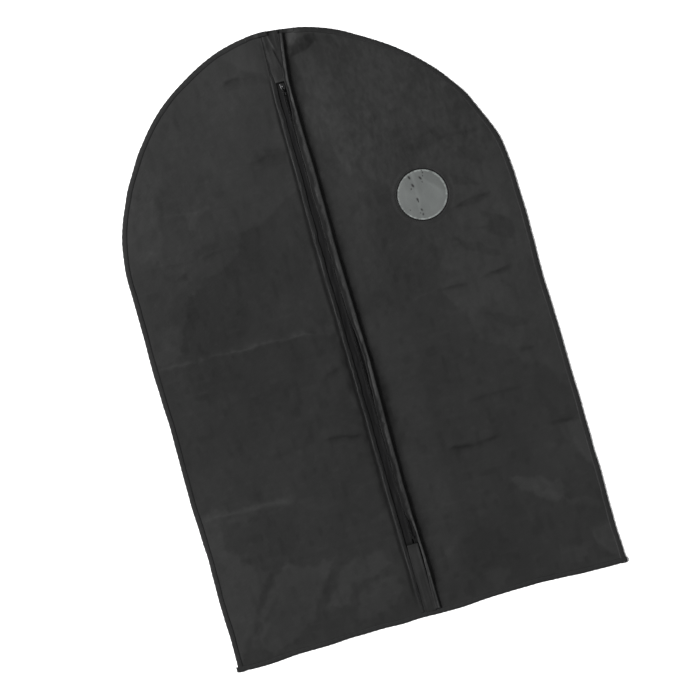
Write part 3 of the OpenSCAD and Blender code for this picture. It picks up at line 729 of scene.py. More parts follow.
def tape_material(name, base):
    """Woven zip tape: fine ribs across it, close herringbone along it."""
    m, nt, bsdf = nt_new(name)
    L = nt.links
    tc = node(nt, "ShaderNodeTexCoord")
    w1 = node(nt, "ShaderNodeTexWave", wave_type="BANDS", bands_direction="Y"); w1.inputs["Scale"].default_value = 300
    w2 = node(nt, "ShaderNodeTexWave", wave_type="BANDS", bands_direction="DIAGONAL"); w2.inputs["Scale"].default_value = 210
    for w in (w1, w2):
        w.inputs["Distortion"].default_value = 0.8
        L.new(tc.outputs["Object"], w.inputs["Vector"])
    mul = node(nt, "ShaderNodeMath", operation="MULTIPLY")
    L.new(w1.outputs["Fac"], mul.inputs[0]); L.new(w2.outputs["Fac"], mul.inputs[1])
    n = node(nt, "ShaderNodeTexNoise"); n.inputs["Scale"].default_value = 60; n.inputs["Detail"].default_value = 3
    mp = node(nt, "ShaderNodeMapping"); mp.inputs["Scale"].default_value = (3.0, 0.25, 1)
    L.new(tc.outputs["Object"], mp.inputs["Vector"]); L.new(mp.outputs[0], n.inputs["Vector"])
    ramp = node(nt, "ShaderNodeValToRGB")
    ramp.color_ramp.elements[0].position = 0.3; ramp.color_ramp.elements[0].color = (*[c * 0.7 for c in base], 1)
    ramp.color_ramp.elements[1].position = 0.75; ramp.color_ramp.elements[1].color = (*[c * 1.3 for c in base], 1)
    # the per-vertex attribute scales the colour: it carries painted light and painted shade, with some random variation
    at = node(nt, "ShaderNodeAttribute"); at.attribute_name = "tone_and_painted_shading"
    gain = node(nt, "ShaderNodeMath", operation="MULTIPLY_ADD")
    L.new(at.outputs["Fac"], gain.inputs[0]); gain.inputs[1].default_value = 0.26; gain.inputs[2].default_value = 1.0
    sc = node(nt, "ShaderNodeVectorMath", operation="SCALE")
    L.new(n.outputs["Fac"], ramp.inputs[0]); L.new(ramp.outputs[0], sc.inputs[0]); L.new(gain.outputs[0], sc.inputs["Scale"])
    L.new(sc.outputs[0], bsdf.inputs["Base Color"])
    b = node(nt, "ShaderNodeBump"); b.inputs["Strength"].default_value = 0.6; b.inputs["Distance"].default_value = 0.00015
    L.new(mul.outputs[0], b.inputs["Height"]); L.new(b.outputs[0], bsdf.inputs["Normal"])
    mr = node(nt, "ShaderNodeMapRange"); mr.inputs[3].default_value = 0.6; mr.inputs[4].default_value = 0.8
    L.new(n.outputs["Fac"], mr.inputs[0]); L.new(mr.outputs[0], bsdf.inputs["Roughness"])
    bsdf.inputs["Specular IOR Level"].default_value = 0.08
    return m


def thread_material(name, base, rough=0.45, spec=0.15):
    m, nt, bsdf = nt_new(name)
    L = nt.links
    tc = node(nt, "ShaderNodeTexCoord")
    w = node(nt, "ShaderNodeTexWave", wave_type="BANDS", bands_direction="DIAGONAL"); w.inputs["Scale"].default_value = 900
    n = node(nt, "ShaderNodeTexNoise"); n.inputs["Scale"].default_value = 300
    L.new(tc.outputs["Object"], w.inputs["Vector"]); L.new(tc.outputs["Object"], n.inputs["Vector"])
    ramp = node(nt, "ShaderNodeValToRGB")
    ramp.color_ramp.elements[0].color = (*[c * 0.75 for c in base], 1); ramp.color_ramp.elements[1].color = (*[c * 1.3 for c in base], 1)
    L.new(n.outputs["Fac"], ramp.inputs[0]); L.new(ramp.outputs[0], bsdf.inputs["Base Color"])
    b = node(nt, "ShaderNodeBump"); b.inputs["Strength"].default_value = 0.5; b.inputs["Distance"].default_value = 0.00008
    L.new(w.outputs["Fac"], b.inputs["Height"]); L.new(b.outputs[0], bsdf.inputs["Normal"])
    mr = node(nt, "ShaderNodeMapRange"); mr.inputs[3].default_value = rough - 0.08; mr.inputs[4].default_value = rough + 0.1
    L.new(n.outputs["Fac"], mr.inputs[0]); L.new(mr.outputs[0], bsdf.inputs["Roughness"])
    bsdf.inputs["Specular IOR Level"].default_value = spec
    return m


def metal_material(name, lo, hi):
    m, nt, bsdf = nt_new(name)
    L = nt.links
    tc = node(nt, "ShaderNodeTexCoord")
    n = node(nt, "ShaderNodeTexNoise"); n.inputs["Scale"].default_value = 900; n.inputs["Detail"].default_value = 4
    L.new(tc.outputs["Object"], n.inputs["Vector"])
    ramp = node(nt, "ShaderNodeValToRGB")
    ramp.color_ramp.elements[0].position = 0.3; ramp.color_ramp.elements[0].color = (lo, lo, lo * 1.02, 1)
    ramp.color_ramp.elements[1].position = 0.7; ramp.color_ramp.elements[1].color = (hi, hi, hi * 1.01, 1)
    L.new(n.outputs["Fac"], ramp.inputs[0]); L.new(ramp.outputs[0], bsdf.inputs["Base Color"])
    mr = node(nt, "ShaderNodeMapRange"); mr.inputs[3].default_value = 0.22; mr.inputs[4].default_value = 0.38
    L.new(n.outputs["Fac"], mr.inputs[0]); L.new(mr.outputs[0], bsdf.inputs["Roughness"])
    b = node(nt, "ShaderNodeBump"); b.inputs["Strength"].default_value = 0.15; b.inputs["Distance"].default_value = 0.00005
    L.new(n.outputs["Fac"], b.inputs["Height"]); L.new(b.outputs[0], bsdf.inputs["Normal"])
    bsdf.inputs["Metallic"].default_value = 1.0
    return m


def film_material(name):
    """Milky window film, with a row of small dark pinches along an old fold."""
    m, nt, bsdf = nt_new(name)
    L = nt.links
    tc = node(nt, "ShaderNodeTexCoord")
    n = node(nt, "ShaderNodeTexNoise"); n.inputs["Scale"].default_value = 26; n.inputs["Detail"].default_value = 4
    L.new(tc.outputs["Object"], n.inputs["Vector"])
    ramp = node(nt, "ShaderNodeValToRGB")
    ramp.color_ramp.elements[0].position = 0.3; ramp.color_ramp.elements[0].color = (0.066, 0.071, 0.069, 1)
    ramp.color_ramp.elements[1].position = 0.7; ramp.color_ramp.elements[1].color = (0.076, 0.081, 0.079, 1)
    L.new(n.outputs["Fac"], ramp.inputs[0])
    # the per-vertex attribute scales the colour: painted light and shade by the film's folds, its lighter rim, its dark
    # flecks and some random variation
    at = node(nt, "ShaderNodeAttribute"); at.attribute_name = "tone_and_painted_shading"
    gain = node(nt, "ShaderNodeMath", operation="MULTIPLY_ADD")
    L.new(at.outputs["Fac"], gain.inputs[0]); gain.inputs[1].default_value = 0.28; gain.inputs[2].default_value = 1.0
    low = node(nt, "ShaderNodeMath", operation="MAXIMUM")
    L.new(gain.outputs[0], low.inputs[0]); low.inputs[1].default_value = 0.10
    sc = node(nt, "ShaderNodeVectorMath", operation="SCALE")
    L.new(ramp.outputs[0], sc.inputs[0]); L.new(low.outputs[0], sc.inputs["Scale"])
    L.new(sc.outputs[0], bsdf.inputs["Base Color"])
    mr = node(nt, "ShaderNodeMapRange"); mr.inputs[3].default_value = 0.30; mr.inputs[4].default_value = 0.42
    L.new(n.outputs["Fac"], mr.inputs[0]); L.new(mr.outputs[0], bsdf.inputs["Roughness"])
    n2 = node(nt, "ShaderNodeTexNoise"); n2.inputs["Scale"].default_value = 140; n2.inputs["Detail"].default_value = 2
    L.new(tc.outputs["Object"], n2.inputs["Vector"])
    b = node(nt, "ShaderNodeBump"); b.inputs["Strength"].default_value = 0.12; b.inputs["Distance"].default_value = 0.0006
    L.new(n2.outputs["Fac"], b.inputs["Height"]); L.new(b.outputs[0], bsdf.inputs["Normal"])
    bsdf.inputs["IOR"].default_value = 1.5
    bsdf.inputs["Coat Weight"].default_value = 0.15
    bsdf.inputs["Coat Roughness"].default_value = 0.2
    return m


def floor_material():
    m, nt, bsdf = nt_new("floor")
    bsdf.inputs["Base Color"].default_value = (0.90, 0.90, 0.90, 1)
    bsdf.inputs["Roughness"].default_value = 0.9
    return m


CLOTH = cloth_material("cover_cloth", (0.0112, 0.0113, 0.0112))
TRIM = cloth_material("binding_cloth", (0.0108, 0.0109, 0.0109), rough=0.52, weave=0.8, crinkle=0.5, weave_mm=0.8)
WELT = cloth_material("welt_cloth", (0.0103, 0.0104, 0.0104), rough=0.48, weave=0.6, crinkle=0.7)
LINING = cloth_material("back_cloth", (0.0112, 0.0113, 0.0112), rough=0.48)
TAPE = tape_material("zip_tape", (0.0030, 0.0030, 0.0031))
COIL = thread_material("nylon_coil", (0.0056, 0.0056, 0.0057), 0.45, 0.12)
THREAD = thread_material("sewing_thread", (0.0135, 0.0135, 0.0137), 0.55)
CHROME = metal_material("polished_metal", 0.07, 0.12)
STEEL = metal_material("slider_metal", 0.035, 0.06)
STOP_METAL = metal_material("stop_metal", 0.020, 0.034)
BLACK_METAL = metal_material("blackened_metal", 0.007, 0.014)
FILM = film_material("window_film")

make_camera()
make_lights()


# ---------------------------------------------------------------- front halves
def panel_grid(side, cols, rows_low, rows_high):
    """Bag coordinates of a grid over one front half: rows straight up to the shoulder, then fanned over the arch."""
    u = np.linspace(0, 1, cols)
    inset = 1.2
    s = side

    def slit(y):
        return welt_left_x(y) - 1.0 if side < 0 else welt_right_x(y) - 1.4

    y_low = np.linspace(1.2, ARCH_Y, rows_low)
    X1 = slit(y_low)[:, None] * (1 - u)[None] + (s * (HW - inset)) * u[None]
    Y1 = np.repeat(y_low[:, None], cols, 1)
    # upper block, by transfinite interpolation
    v = np.linspace(0, 1, rows_high)
    A = 47.0
    x_top0 = slit(np.array(900.0))
    lean = -7.0 if True else 0
    # angle on the arch where the slit line meets it
    xs_top = float(slit(np.array(908.0))) + 7.0        # undo the lean that warp adds
    a_end = math.degrees(math.acos(min(1, abs(xs_top) / HW) ** (PW / 2)))
    right = np.stack(outline_pt(A * v, inset), -1) * [s, 1]
    sgn = 1 if xs_top * s > 0 else -1
    # the top runs from the corner point to the slit, and may pass the middle of the bag
    aa = np.linspace(A, a_end if sgn > 0 else 180 - a_end, cols)[::-1]
    rr = np.where(aa <= 90, aa, 180 - aa)
    tx, ty = outline_pt(rr, inset)
    top = np.stack([np.where(aa <= 90, tx, -tx) * s, ty], -1)
    y_end = top[0, 1]
    yl = lerp(ARCH_Y, y_end, v)
    un = slit(yl) + 7.0 * sstep(yl, 770, 905)
    left = np.stack([un, yl], -1)
    left[-1] = top[0]
    bottom = np.stack([X1[-1], Y1[-1]], -1)
    U, V = np.meshgrid(u, v)
    U, V = U[..., None], V[..., None]
    P = ((1 - V) * bottom[None] + V * top[None] + (1 - U) * left[:, None] + U * right[:, None]
         - ((1 - U) * (1 - V) * bottom[0] + U * (1 - V) * bottom[-1] + (1 - U) * V * top[0] + U * V * top[-1]))
    X = np.concatenate([X1, P[1:, :, 0]])
    Y = np.concatenate([Y1, P[1:, :, 1]])
    # near the zip at the top, the measured path of the welts already leans: the warp is undone there
    return X, Y


def make_front(side):
    cols, rl, rh = 152, 310, 150
    X, Y = panel_grid(side, cols, rl, rh)
    keep = None
    if side > 0:
        cx, cy, r = 159.4, 610.4, 37.7
        d = np.hypot(X - cx, Y - cy)
        inside = d < r
        full = inside[:-1, :-1] & inside[1:, :-1] & inside[:-1, 1:] & inside[1:, 1:]
        part = inside[:-1, :-1] | inside[1:, :-1] | inside[:-1, 1:] | inside[1:, 1:]
        # a quad stays if its centre is outside the circle; then the rim's points are moved onto the circle
        mx = (X[:-1, :-1] + X[1:, :-1] + X[:-1, 1:] + X[1:, 1:]) / 4
        my = (Y[:-1, :-1] + Y[1:, :-1] + Y[:-1, 1:] + Y[1:, 1:]) / 4
        keep = np.hypot(mx - cx, my - cy) > r
        usedk = np.zeros(X.shape, int)
        allq = np.zeros(X.shape, int)
        for di in (0, 1):
            for dj in (0, 1):
                usedk[di:X.shape[0] - 1 + di, dj:X.shape[1] - 1 + dj] += keep
                allq[di:X.shape[0] - 1 + di, dj:X.shape[1] - 1 + dj] += 1
        rim = (usedk > 0) & (usedk < allq) & (d < r + 12)
        ang = np.arctan2(Y - cy, X - cx)
        X = np.where(rim, cx + r * np.cos(ang), X)
        Y = np.where(rim, cy + r * np.sin(ang), Y)
        # ease the next rings, so the quads stay even
        for _ in range(6):
            Xs, Ys = X.copy(), Y.copy()
            Xs[1:-1, 1:-1] = (X[:-2, 1:-1] + X[2:, 1:-1] + X[1:-1, :-2] + X[1:-1, 2:]) / 4
            Ys[1:-1, 1:-1] = (Y[:-2, 1:-1] + Y[2:, 1:-1] + Y[1:-1, :-2] + Y[1:-1, 2:]) / 4
            d2 = np.hypot(X - cx, Y - cy)
            sel = (~rim) & (usedk == allq) & (d2 > r) & (d2 < r + 9)
            X, Y = np.where(sel, Xs, X), np.where(sel, Ys, Y)
    Z = front_z(X, Y)
    name = "front_left_cloth" if side < 0 else "front_right_cloth"
    o, xy = shell_from_grid(name, X, Y, Z, 0.40, CLOTH, keep)
    # painted light and painted shade over the front's cloth, as a factor on its colour
    paint(o, tone_and_painted_shading(xy[:, 0], xy[:, 1]))
    bend(o, xy)
    s = "left" if side < 0 else "right"
    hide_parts(f"front_{s}_panel", f"front_{s}_flap")
    return o


fronts = {s: make_front(s) for s in (-1, 1)}

# ---------------------------------------------------------------- back
def make_back():
    # a closed thin shell over the whole outline, with its own slack
    cols, rl, rh = 110, 150, 80
    out = []
    X, Y = [], []
    u = np.linspace(-1, 1, cols * 2 - 1)
    inset = 1.2
    y_low = np.linspace(1.2, ARCH_Y, rl)
    X1 = (HW - inset) * u[None] * np.ones((rl, 1))
    Y1 = y_low[:, None] * np.ones((1, len(u)))
    v = np.linspace(0, 1, rh)
    A = 47.0
    right = np.stack(outline_pt(A * v, inset), -1)
    left = right * [-1, 1]
    ang = np.linspace(180 - A, A, len(u))
    rr = np.where(ang <= 90, ang, 180 - ang)
    tx, ty = outline_pt(rr, inset)
    top = np.stack([np.where(ang <= 90, tx, -tx), ty], -1)
    bottom = np.stack([X1[-1], Y1[-1]], -1)
    U, V = np.meshgrid((u + 1) / 2, v)
    U, V = U[..., None], V[..., None]
    P = ((1 - V) * bottom[None] + V * top[None] + (1 - U) * left[:, None] + U * right[:, None]
         - ((1 - U) * (1 - V) * bottom[0] + U * (1 - V) * bottom[-1] + (1 - U) * V * top[0] + U * V * top[-1]))
    X = np.concatenate([X1, P[1:, :, 0]])
    Y = np.concatenate([Y1, P[1:, :, 1]])
    ds = np.minimum(side_distance(X, Y), Y)
    wr = 0.5 + 0.5 * N5.fractal(X, Y, 75, 3)
    cr = np.zeros(X.shape)
    for yy in (231, 462, 681):
        cr += np.exp(-np.sqrt((Y - yy + 3 * N2(X, Y, 50)) ** 2 + 1.5) / 8)
    Z = 0.75 + sstep(ds, 8, 60) * (0.55 * wr + 0.5 * cr * (0.5 + 0.5 * N1(X, Y, 90)))
    o, xy = shell_from_grid("back_cloth", X, Y, Z, 0.40, LINING)
    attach(o, "bag")
    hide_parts("back_panel")
    return o


back = make_back()


# ---------------------------------------------------------------- zip tapes, welts
YS = np.arange(10.0, 902.0, 2.0)


def make_tape(side):
    ys = np.arange(12.0, 884.0, 2.0)

    def section(y):
        lv = level(np.full_like(y, ZIPX), y)
        shift = sstep(y, 830, 884) * 6
        if side < 0:
            x0, x1 = welt_left_x(y) - 0.5, np.full_like(y, ZIPX - 0.85) + shift * 0.4
        else:
            x0, x1 = np.full_like(y, ZIPX + 0.85) + shift * 0.4, welt_right_x(y) + 0.2
        n = 19
        t = np.linspace(0, 1, n)
        X = x0[:, None] + (x1 - x0)[:, None] * t[None]
        # the tape is fuller near its outer edge and thick at the beading beside the coil
        q = t if side > 0 else 1 - t          # 0 at the coil
        bead = 0.30 * np.exp(-((q - 0.10) / 0.05) ** 2)
        yy = y[:, None] + 0 * X
        wav = 0.30 * N3(yy * 0.55, X * 3.2 - yy * 0.5, 15) + 0.20 * N4(yy, X * 3.0, 9) + 0.12 * np.sin(yy / 7.7 + 2.2 * np.sin(yy / 41))
        top = lv[:, None] + bead[None] - 0.12 + wav * sstep(q[None], 0.08, 0.3) * 0.75
        top = np.minimum(top, lv[:, None] + 0.32)
        low = top - 0.45
        Xc = np.concatenate([X, X[:, ::-1]], 1)
        Zc = np.concatenate([top, low[:, ::-1]], 1)
        return Xc, Zc

    s = "left" if side < 0 else "right"
    o, xy = strip(f"zip_tape_{s}", ys, section, TAPE, warped=False)
    y = xy[:, 1]                                 # lighter towards the top; painted shade where it goes under the top tab, a painted shadow line just above the bottom tab, and painted light on its right part above the bottom tab
    paint(o, 1.9 * sstep(y, 640, 710) + 2.6 * sstep(xy[:, 0], 4.0, 5.5) * sstep(y, 116, 121) * (1 - sstep(y, 160, 172)) - 3.4 * sstep(y, 111, 112.5) * (1 - sstep(y, 115, 117)) - 4.0 * sstep(y, 825.5, 827) + 0.5 * N4(xy[:, 0] * 3, y, 14))
    bend(o, xy)
    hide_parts(f"tape_{s}", "tape_ends")
    return o


def welt_profile(pts):
    """Rounded closed section from a few points, by a closed Catmull-Rom curve. pts is (k, 2, n)."""
    k = len(pts)
    out = []
    for i in range(k):
        p0, p1, p2, p3 = pts[i - 1], pts[i], pts[(i + 1) % k], pts[(i + 2) % k]
        for t in (0.0, 0.34, 0.67):
            out.append(0.5 * (2 * p1 + (p2 - p0) * t + (2 * p0 - 5 * p1 + 4 * p2 - p3) * t**2 + (3 * p1 - p0 - 3 * p2 + p3) * t**3))
    return out


def make_welt(side):
    ys = np.arange(9.0, 903.0, 1.5)

    def section(y):
        lv = level(np.full_like(y, ZIPX), y)
        o1 = 5.0 if side < 0 else 60.0
        low = 1 - 0.45 * sstep(y, 872, 902) - 0.22 * sstep(y, 815, 850) * (side < 0)      # thinner towards the hem of the opening
        pk = 0.34 * N3(y, y * 0 + o1, 22) + 0.26 * N4(y, y * 0 + o1, 9) + 0.14 * N5(y, y * 0 + o1, 4.5)
        pk2 = 0.30 * N5(y, y * 0 + o1 + 9, 13) + 0.22 * N2(y, y * 0 + o1, 6)
        wob = 0.40 * N2(y, y * 0 + o1 + 3, 16) + 0.22 * N4(y, y * 0 + o1 + 7, 7)
        if side < 0:
            c = welt_left_x(y) + wob
            full = lerp(0.8, 1.7, sstep(y, 560, 640)) * (1 - sstep(y, 830, 870))
            raw = [(c - 2.7, 0.28 + 0 * y), (c - 2.6, 0.80 + 0 * y), (c - 2.1, 1.20 + 0.4 * pk), (c - 0.9, 1.46 + 0.7 * pk),
                   (c + 0.5, 1.46 + 0.7 * pk2), (c + 1.7, 1.30 + 0.6 * pk2), (c + 2.6 + 0.6 * full, 0.92 + 0.3 * pk), (c + 3.2 + full + 0.5 * wob, 0.40 + 0 * y),
                   (c + 1.0, 0.32 + 0 * y), (c - 1.4, 0.26 + 0 * y)]
        else:
            c = welt_right_x(y) + wob * 0.7
            e = welt_right_edge(y) + 0.7 * wob + 0.45 * N5(y, y * 0 + 80, 11) * sstep(c - welt_right_edge(y), 6.2, 8)
            w = c - e
            f = 1 - sstep(y, 112, 130)           # beside the bottom tab it rises evenly to its crest
            pk2 = pk2 * (1 - 0.6 * f)
            raw = [(e + 0.02 * w, 2.02 - 0.30 * f), (e + 0.03 * w, 2.62 - 0.62 * f + 0.4 * pk2), (e + 0.16 * w, 2.72 - 0.52 * f + 0.8 * pk2), (e + 0.40 * w, 2.42 + 0.06 * f + 1.1 * pk2),
                   (e + 0.60 * w, 2.72 + 0.9 * pk), (e + 0.80 * w, 3.22 + pk), (e + 0.96 * w, 3.55 + pk), (c + 0.9, 3.20 + pk),
                   (c + 1.6, 1.80 + 0 * y), (c + 1.7, 0.30 + 0 * y), (c + 1.1, -0.85 + 0 * y), (c + 0.4, 0.50 + 0 * y),
                   (e + 0.80 * w, 1.75 + 0 * y), (e + 0.45 * w, 1.70 - 0.15 * f), (e + 0.14 * w, 1.90 - 0.35 * f)]
        out = welt_profile([np.array([px, lv + pz * low]) for px, pz in raw])
        return np.stack([p[0] for p in out], 1), np.stack([p[1] for p in out], 1)

    s = "left" if side < 0 else "right"
    o, xy = strip(f"zip_welt_{s}", ys, section, WELT, warped=False)
    x, y = xy[:, 0], xy[:, 1]
    # painted shade on the left welt's outer flank by the groove and along the right welt's free edge, and a painted
    # darkening of each welt that varies along its length
    if side < 0:
        d = x - welt_left_x(y)
        t = -1.5 * (1 - sstep(d, -2.4, -0.8)) * (1 - sstep(y, 795, 850)) + curve(y, [(0, -0.65), (60, -0.65), (200, -0.6), (280, -1.2), (420, -1.2), (500, -0.9), (590, -0.35), (700, -0.2), (911, -0.2)])
    else:
        d = x - welt_right_edge(y)
        shade = (1 - sstep(y, 300, 360) * (1 - sstep(y, 430, 470))) * sstep(y, 112, 126) * (1 - sstep(y, 785, 815))
        t = -1.9 * (1 - sstep(d, 0.4, 2.0)) * shade + curve(y, [(0, -0.5), (60, -0.5), (120, -0.9), (200, -1.45), (300, -1.1), (400, -1.3), (500, -0.75), (600, -0.6), (700, 0.1), (780, -0.9), (850, -0.5), (911, -0.5)])
    paint(o, t + 0.35 * N4(x * 2.4, y, 6) + 0.30 * N2(x * 2, y, 17))
    bend(o, xy)
    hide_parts(f"welt_{s}", "welt_ends")
    return o


tapes = {s: make_tape(s) for s in (-1, 1)}
welts = {s: make_welt(s) for s in (-1, 1)}


# ---------------------------------------------------------------- coil
def make_coil(side):
    pitch = 1.4
    ys = np.arange(124.0, 828.0, pitch) + (0 if side < 0 else pitch / 2)
    n = len(ys)
    s = side
    # one loop: out along the lower leg, round the head past the middle, back along the upper leg
    path = np.array([[2.35, 0.42], [1.2, 0.40], [0.1, 0.42], [-0.42, 0.52], [-0.55, 0.80], [-0.42, 1.06], [0.1, 1.14], [1.2, 1.14], [2.35, 1.05]])
    r = 0.27
    sides = 6
    V = np.zeros((n, len(path), sides, 3))
    apart = 0.95 * sstep(ys, 822.5, 825.5)
    lv = level(np.full_like(ys, ZIPX), ys)
    tang = np.gradient(path, axis=0)
    tang /= np.linalg.norm(tang, axis=1, keepdims=True)
    nor = np.stack([-tang[:, 1], tang[:, 0]], -1)
    for i, (px, pz) in enumerate(path):
        for j in range(sides):
            a = 2 * math.pi * j / sides
            wide = 1.35 if i in (3, 4, 5) else 1.0
            ox, oz, oy = nor[i, 0] * math.cos(a) * r, nor[i, 1] * math.cos(a) * r, math.sin(a) * r * wide
            V[:, i, j, 0] = ZIPX + s * (px + ox + apart)
            V[:, i, j, 1] = ys + oy + 0.30 * (i - 4) / 4 * 0.35
            V[:, i, j, 2] = lv + pz + oz - 0.15
    base = tube_faces(len(path), sides)
    k = len(path) * sides
    faces = []
    for i in range(n):
        faces += [tuple(v + i * k for v in f) for f in base]
    P = V.reshape(-1, 3)
    nm = "left" if side < 0 else "right"
    o = new_object(f"zip_coil_{nm}", to_row(P[:, 0], P[:, 1], P[:, 2], False), faces, COIL)
    outward(o)
    bend(o, P[:, :2])
    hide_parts(f"coil_{nm}", "coil_ends")
    return o


coils = {s: make_coil(s) for s in (-1, 1)}


# ---------------------------------------------------------------- end tabs
def tab_shell(name, xl, xr, ys, zf, t, mat, body="bag"):
    n = 41
    u = np.linspace(0, 1, n)
    X = xl(ys)[:, None] * (1 - u) + xr(ys)[:, None] * u
    Y = np.repeat(ys[:, None], n, 1)
    Z = zf(X, Y, u[None] * np.ones_like(Y))
    idx = np.arange(X.size).reshape(X.shape)
    q = np.stack([idx[:-1, :-1], idx[:-1, 1:], idx[1:, 1:], idx[1:, :-1]], -1).reshape(-1, 4)
    low = q[:, ::-1] + X.size
    e = np.concatenate([q[:, [0, 1]], q[:, [1, 2]], q[:, [2, 3]], q[:, [3, 0]]])
    key = np.sort(e, 1)
    _, inv, cnt = np.unique(key, axis=0, return_inverse=True, return_counts=True)
    b = e[cnt[inv.ravel()] == 1]
    walls = np.stack([b[:, 1], b[:, 0], b[:, 0] + X.size, b[:, 1] + X.size], -1)
    T = t(X, Y, u[None] * np.ones_like(Y)) if callable(t) else t
    P = np.concatenate([np.stack([X, Y, Z], -1).reshape(-1, 3), np.stack([X, Y, Z - T], -1).reshape(-1, 3)])
    o = new_object(name, to_row(P[:, 0], P[:, 1], P[:, 2], False), np.concatenate([q, low, walls]), mat)
    outward(o)
    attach(o, body)
    return o


def make_top_tab():
    ys = np.concatenate([np.linspace(829.4, 836, 12), np.linspace(837.2, 906, 50)])

    def xl(y):
        return curve(y, [(829, -5.2), (838, -5.6), (852, -7.4), (870, -8.4), (890, -8.8), (906, -9.6)])

    def xr(y):
        return np.minimum(curve(y, [(829, 9.4), (840, 9.6), (862, 13.5), (898, 19.5), (906, 21.0)]), welt_right_edge(y) + 2.0)

    def zf(X, Y, U):
        lv = level(X * 0 + ZIPX, Y)
        z = lv + lerp(1.25, 0.95, sstep(Y, 838, 862)) + 1.05 * sstep(X, -8.5, 1.2) - 0.9 * sstep(Y, 862, 904) * sstep(X, -6, 2)
        z = z + 0.45 * np.exp(-((Y - 831.8) / 2.2) ** 2)
        z = z - 1.1 * (1 - sstep(Y, 829.4, 830.6))
        # folds that run down from the opening
        z = z + 0.80 * crease0(X, Y, [(1.2, 907), (5.4, 890), (9.8, 873)], 6, 1.5)
        z = z + 1.0 * crease0(X, Y, [(9.6, 850), (6.2, 868), (2.8, 885)], 6, 1.2)
        z = z + 0.25 * crease0(X, Y, [(-4.6, 906), (-2.6, 880), (-1.4, 846)], 5, 2.4)
        z = z + 0.40 * crease0(X, Y, [(13.5, 906), (12.6, 892), (12.4, 876)], 5, 1.6)
        z = z + 0.22 * N3(X, Y, 9)
        z = z - np.where(U < 0.5, 0.10, 0.9) * sstep(np.abs(U - 0.5), 0.42, 0.5)
        return z

    o = tab_shell("zip_top_tab", xl, xr, ys, zf, 0.8, CLOTH)
    q = row_to_bag(o)
    # painted highlight on the hem, painted shade along the dark lines beside the left welt and down a fold, and painted
    # light on the tab's right part
    paint(o, 1.5 * np.exp(-((q[:, 1] - 831.6) / 1.8) ** 2) - 1.7 * np.exp(-((q[:, 0] + 3.2) / 2.4) ** 2) * sstep(q[:, 1], 835, 855) * (1 - sstep(q[:, 1], 885, 897)) - 1.1 * np.exp(-((q[:, 0] - 5.6) / 2.0) ** 2) * sstep(q[:, 1], 842, 856) * (1 - sstep(q[:, 1], 872, 884)) + 0.9 * sstep(q[:, 0], 7.5, 10) * (1 - sstep(q[:, 1], 862, 880)) - 0.1 + 0.4 * N4(q[:, 0] * 3, q[:, 1], 12))
    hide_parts("top_tab")
    return o


def crease0(x, y, pts, wl, wr):
    d, s, t = line_dist(x, y, pts)
    return np.exp(-(np.sqrt(d * d + 0.16) - 0.4) / np.where(s > 0, wl, wr)) * sstep(t / 0.2 + 0.3) * sstep((1 - t) / 0.3)


def make_bottom_tab():
    ys = np.concatenate([np.linspace(7.0, 105, 50), np.linspace(106, 113, 12)])

    def xl(y):
        return curve(y, [(7, -8.9), (60, -8.3), (100, -7.9), (113, -7.2)])

    def xr(y):
        return np.full_like(y, 9.4)

    def zf(X, Y, U):
        lv = level(X * 0 + ZIPX, Y)
        z = lv + 1.05 + 0.12 * sstep(X, -9.5, 4) + 0.3 * np.exp(-((Y - 110.6) / 2.2) ** 2) - 0.9 * sstep(Y, 111.9, 113)
        z = z + 0.45 * sstep(X, 4.4, 8.4) * sstep(113 - Y, 0, 4)
        z = z + 0.28 * N3(X, Y, 14) + 0.30 * crease0(X, Y, [(-3.5, 6), (-3.0, 40), (-2.2, 80)], 2.5, 4)
        z = z + 0.25 * crease0(X, Y, [(4.2, 6), (2.6, 30), (2.0, 64)], 4, 2.5)
        return z - np.where(U < 0.5, 0.12, 0.4) * sstep(np.abs(U - 0.5), 0.42, 0.5)

    o = tab_shell("zip_bottom_tab", xl, xr, ys, zf, 0.7, CLOTH)
    q = row_to_bag(o)
    # painted shade along the tab's left and right edges and a painted shadow line at its top edge
    paint(o, -0.6 * sstep(q[:, 0], 4.6, 7.0) - 1.5 * (1 - sstep(q[:, 0], -7.8, -5.4)) - 3.0 * sstep(q[:, 1], 111.6, 112.8) - 0.1 + 0.35 * N4(q[:, 0] * 3, q[:, 1], 12))
    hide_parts("bottom_tab")
    return o


top_tab = make_top_tab()
bottom_tab = make_bottom_tab()


# ---------------------------------------------------------------- edge binding
def outline_path(kind):
    """Points along the outer edge and inward normals, in bag mm before the warp."""
    if kind == "bottom":
        x = np.arange(-302.6, 302.7, 2.0)
        return np.stack([x, x * 0], -1), np.stack([x * 0, x * 0 + 1], -1)
    s = -1 if kind == "left" else 1
    y = np.arange(-0.5, ARCH_Y, 2.0)
    P1 = np.stack([np.full_like(y, s * HW), y], -1)
    n1 = np.stack([np.full_like(y, -s), y * 0], -1)
    x_end = -24.0 if kind == "left" else 50.0
    a_end = math.degrees(math.acos((abs(x_end) / HW) ** (PW / 2)))
    a = np.linspace(0.01, a_end, 230)
    ox, oy = outline_pt(a, 0)
    ix, iy = outline_pt(a, 1)
    P2 = np.stack([s * ox, oy], -1)
    n2 = np.stack([s * (ix - ox), iy - oy], -1)
    return np.concatenate([P1, P2]), np.concatenate([n1, n2])


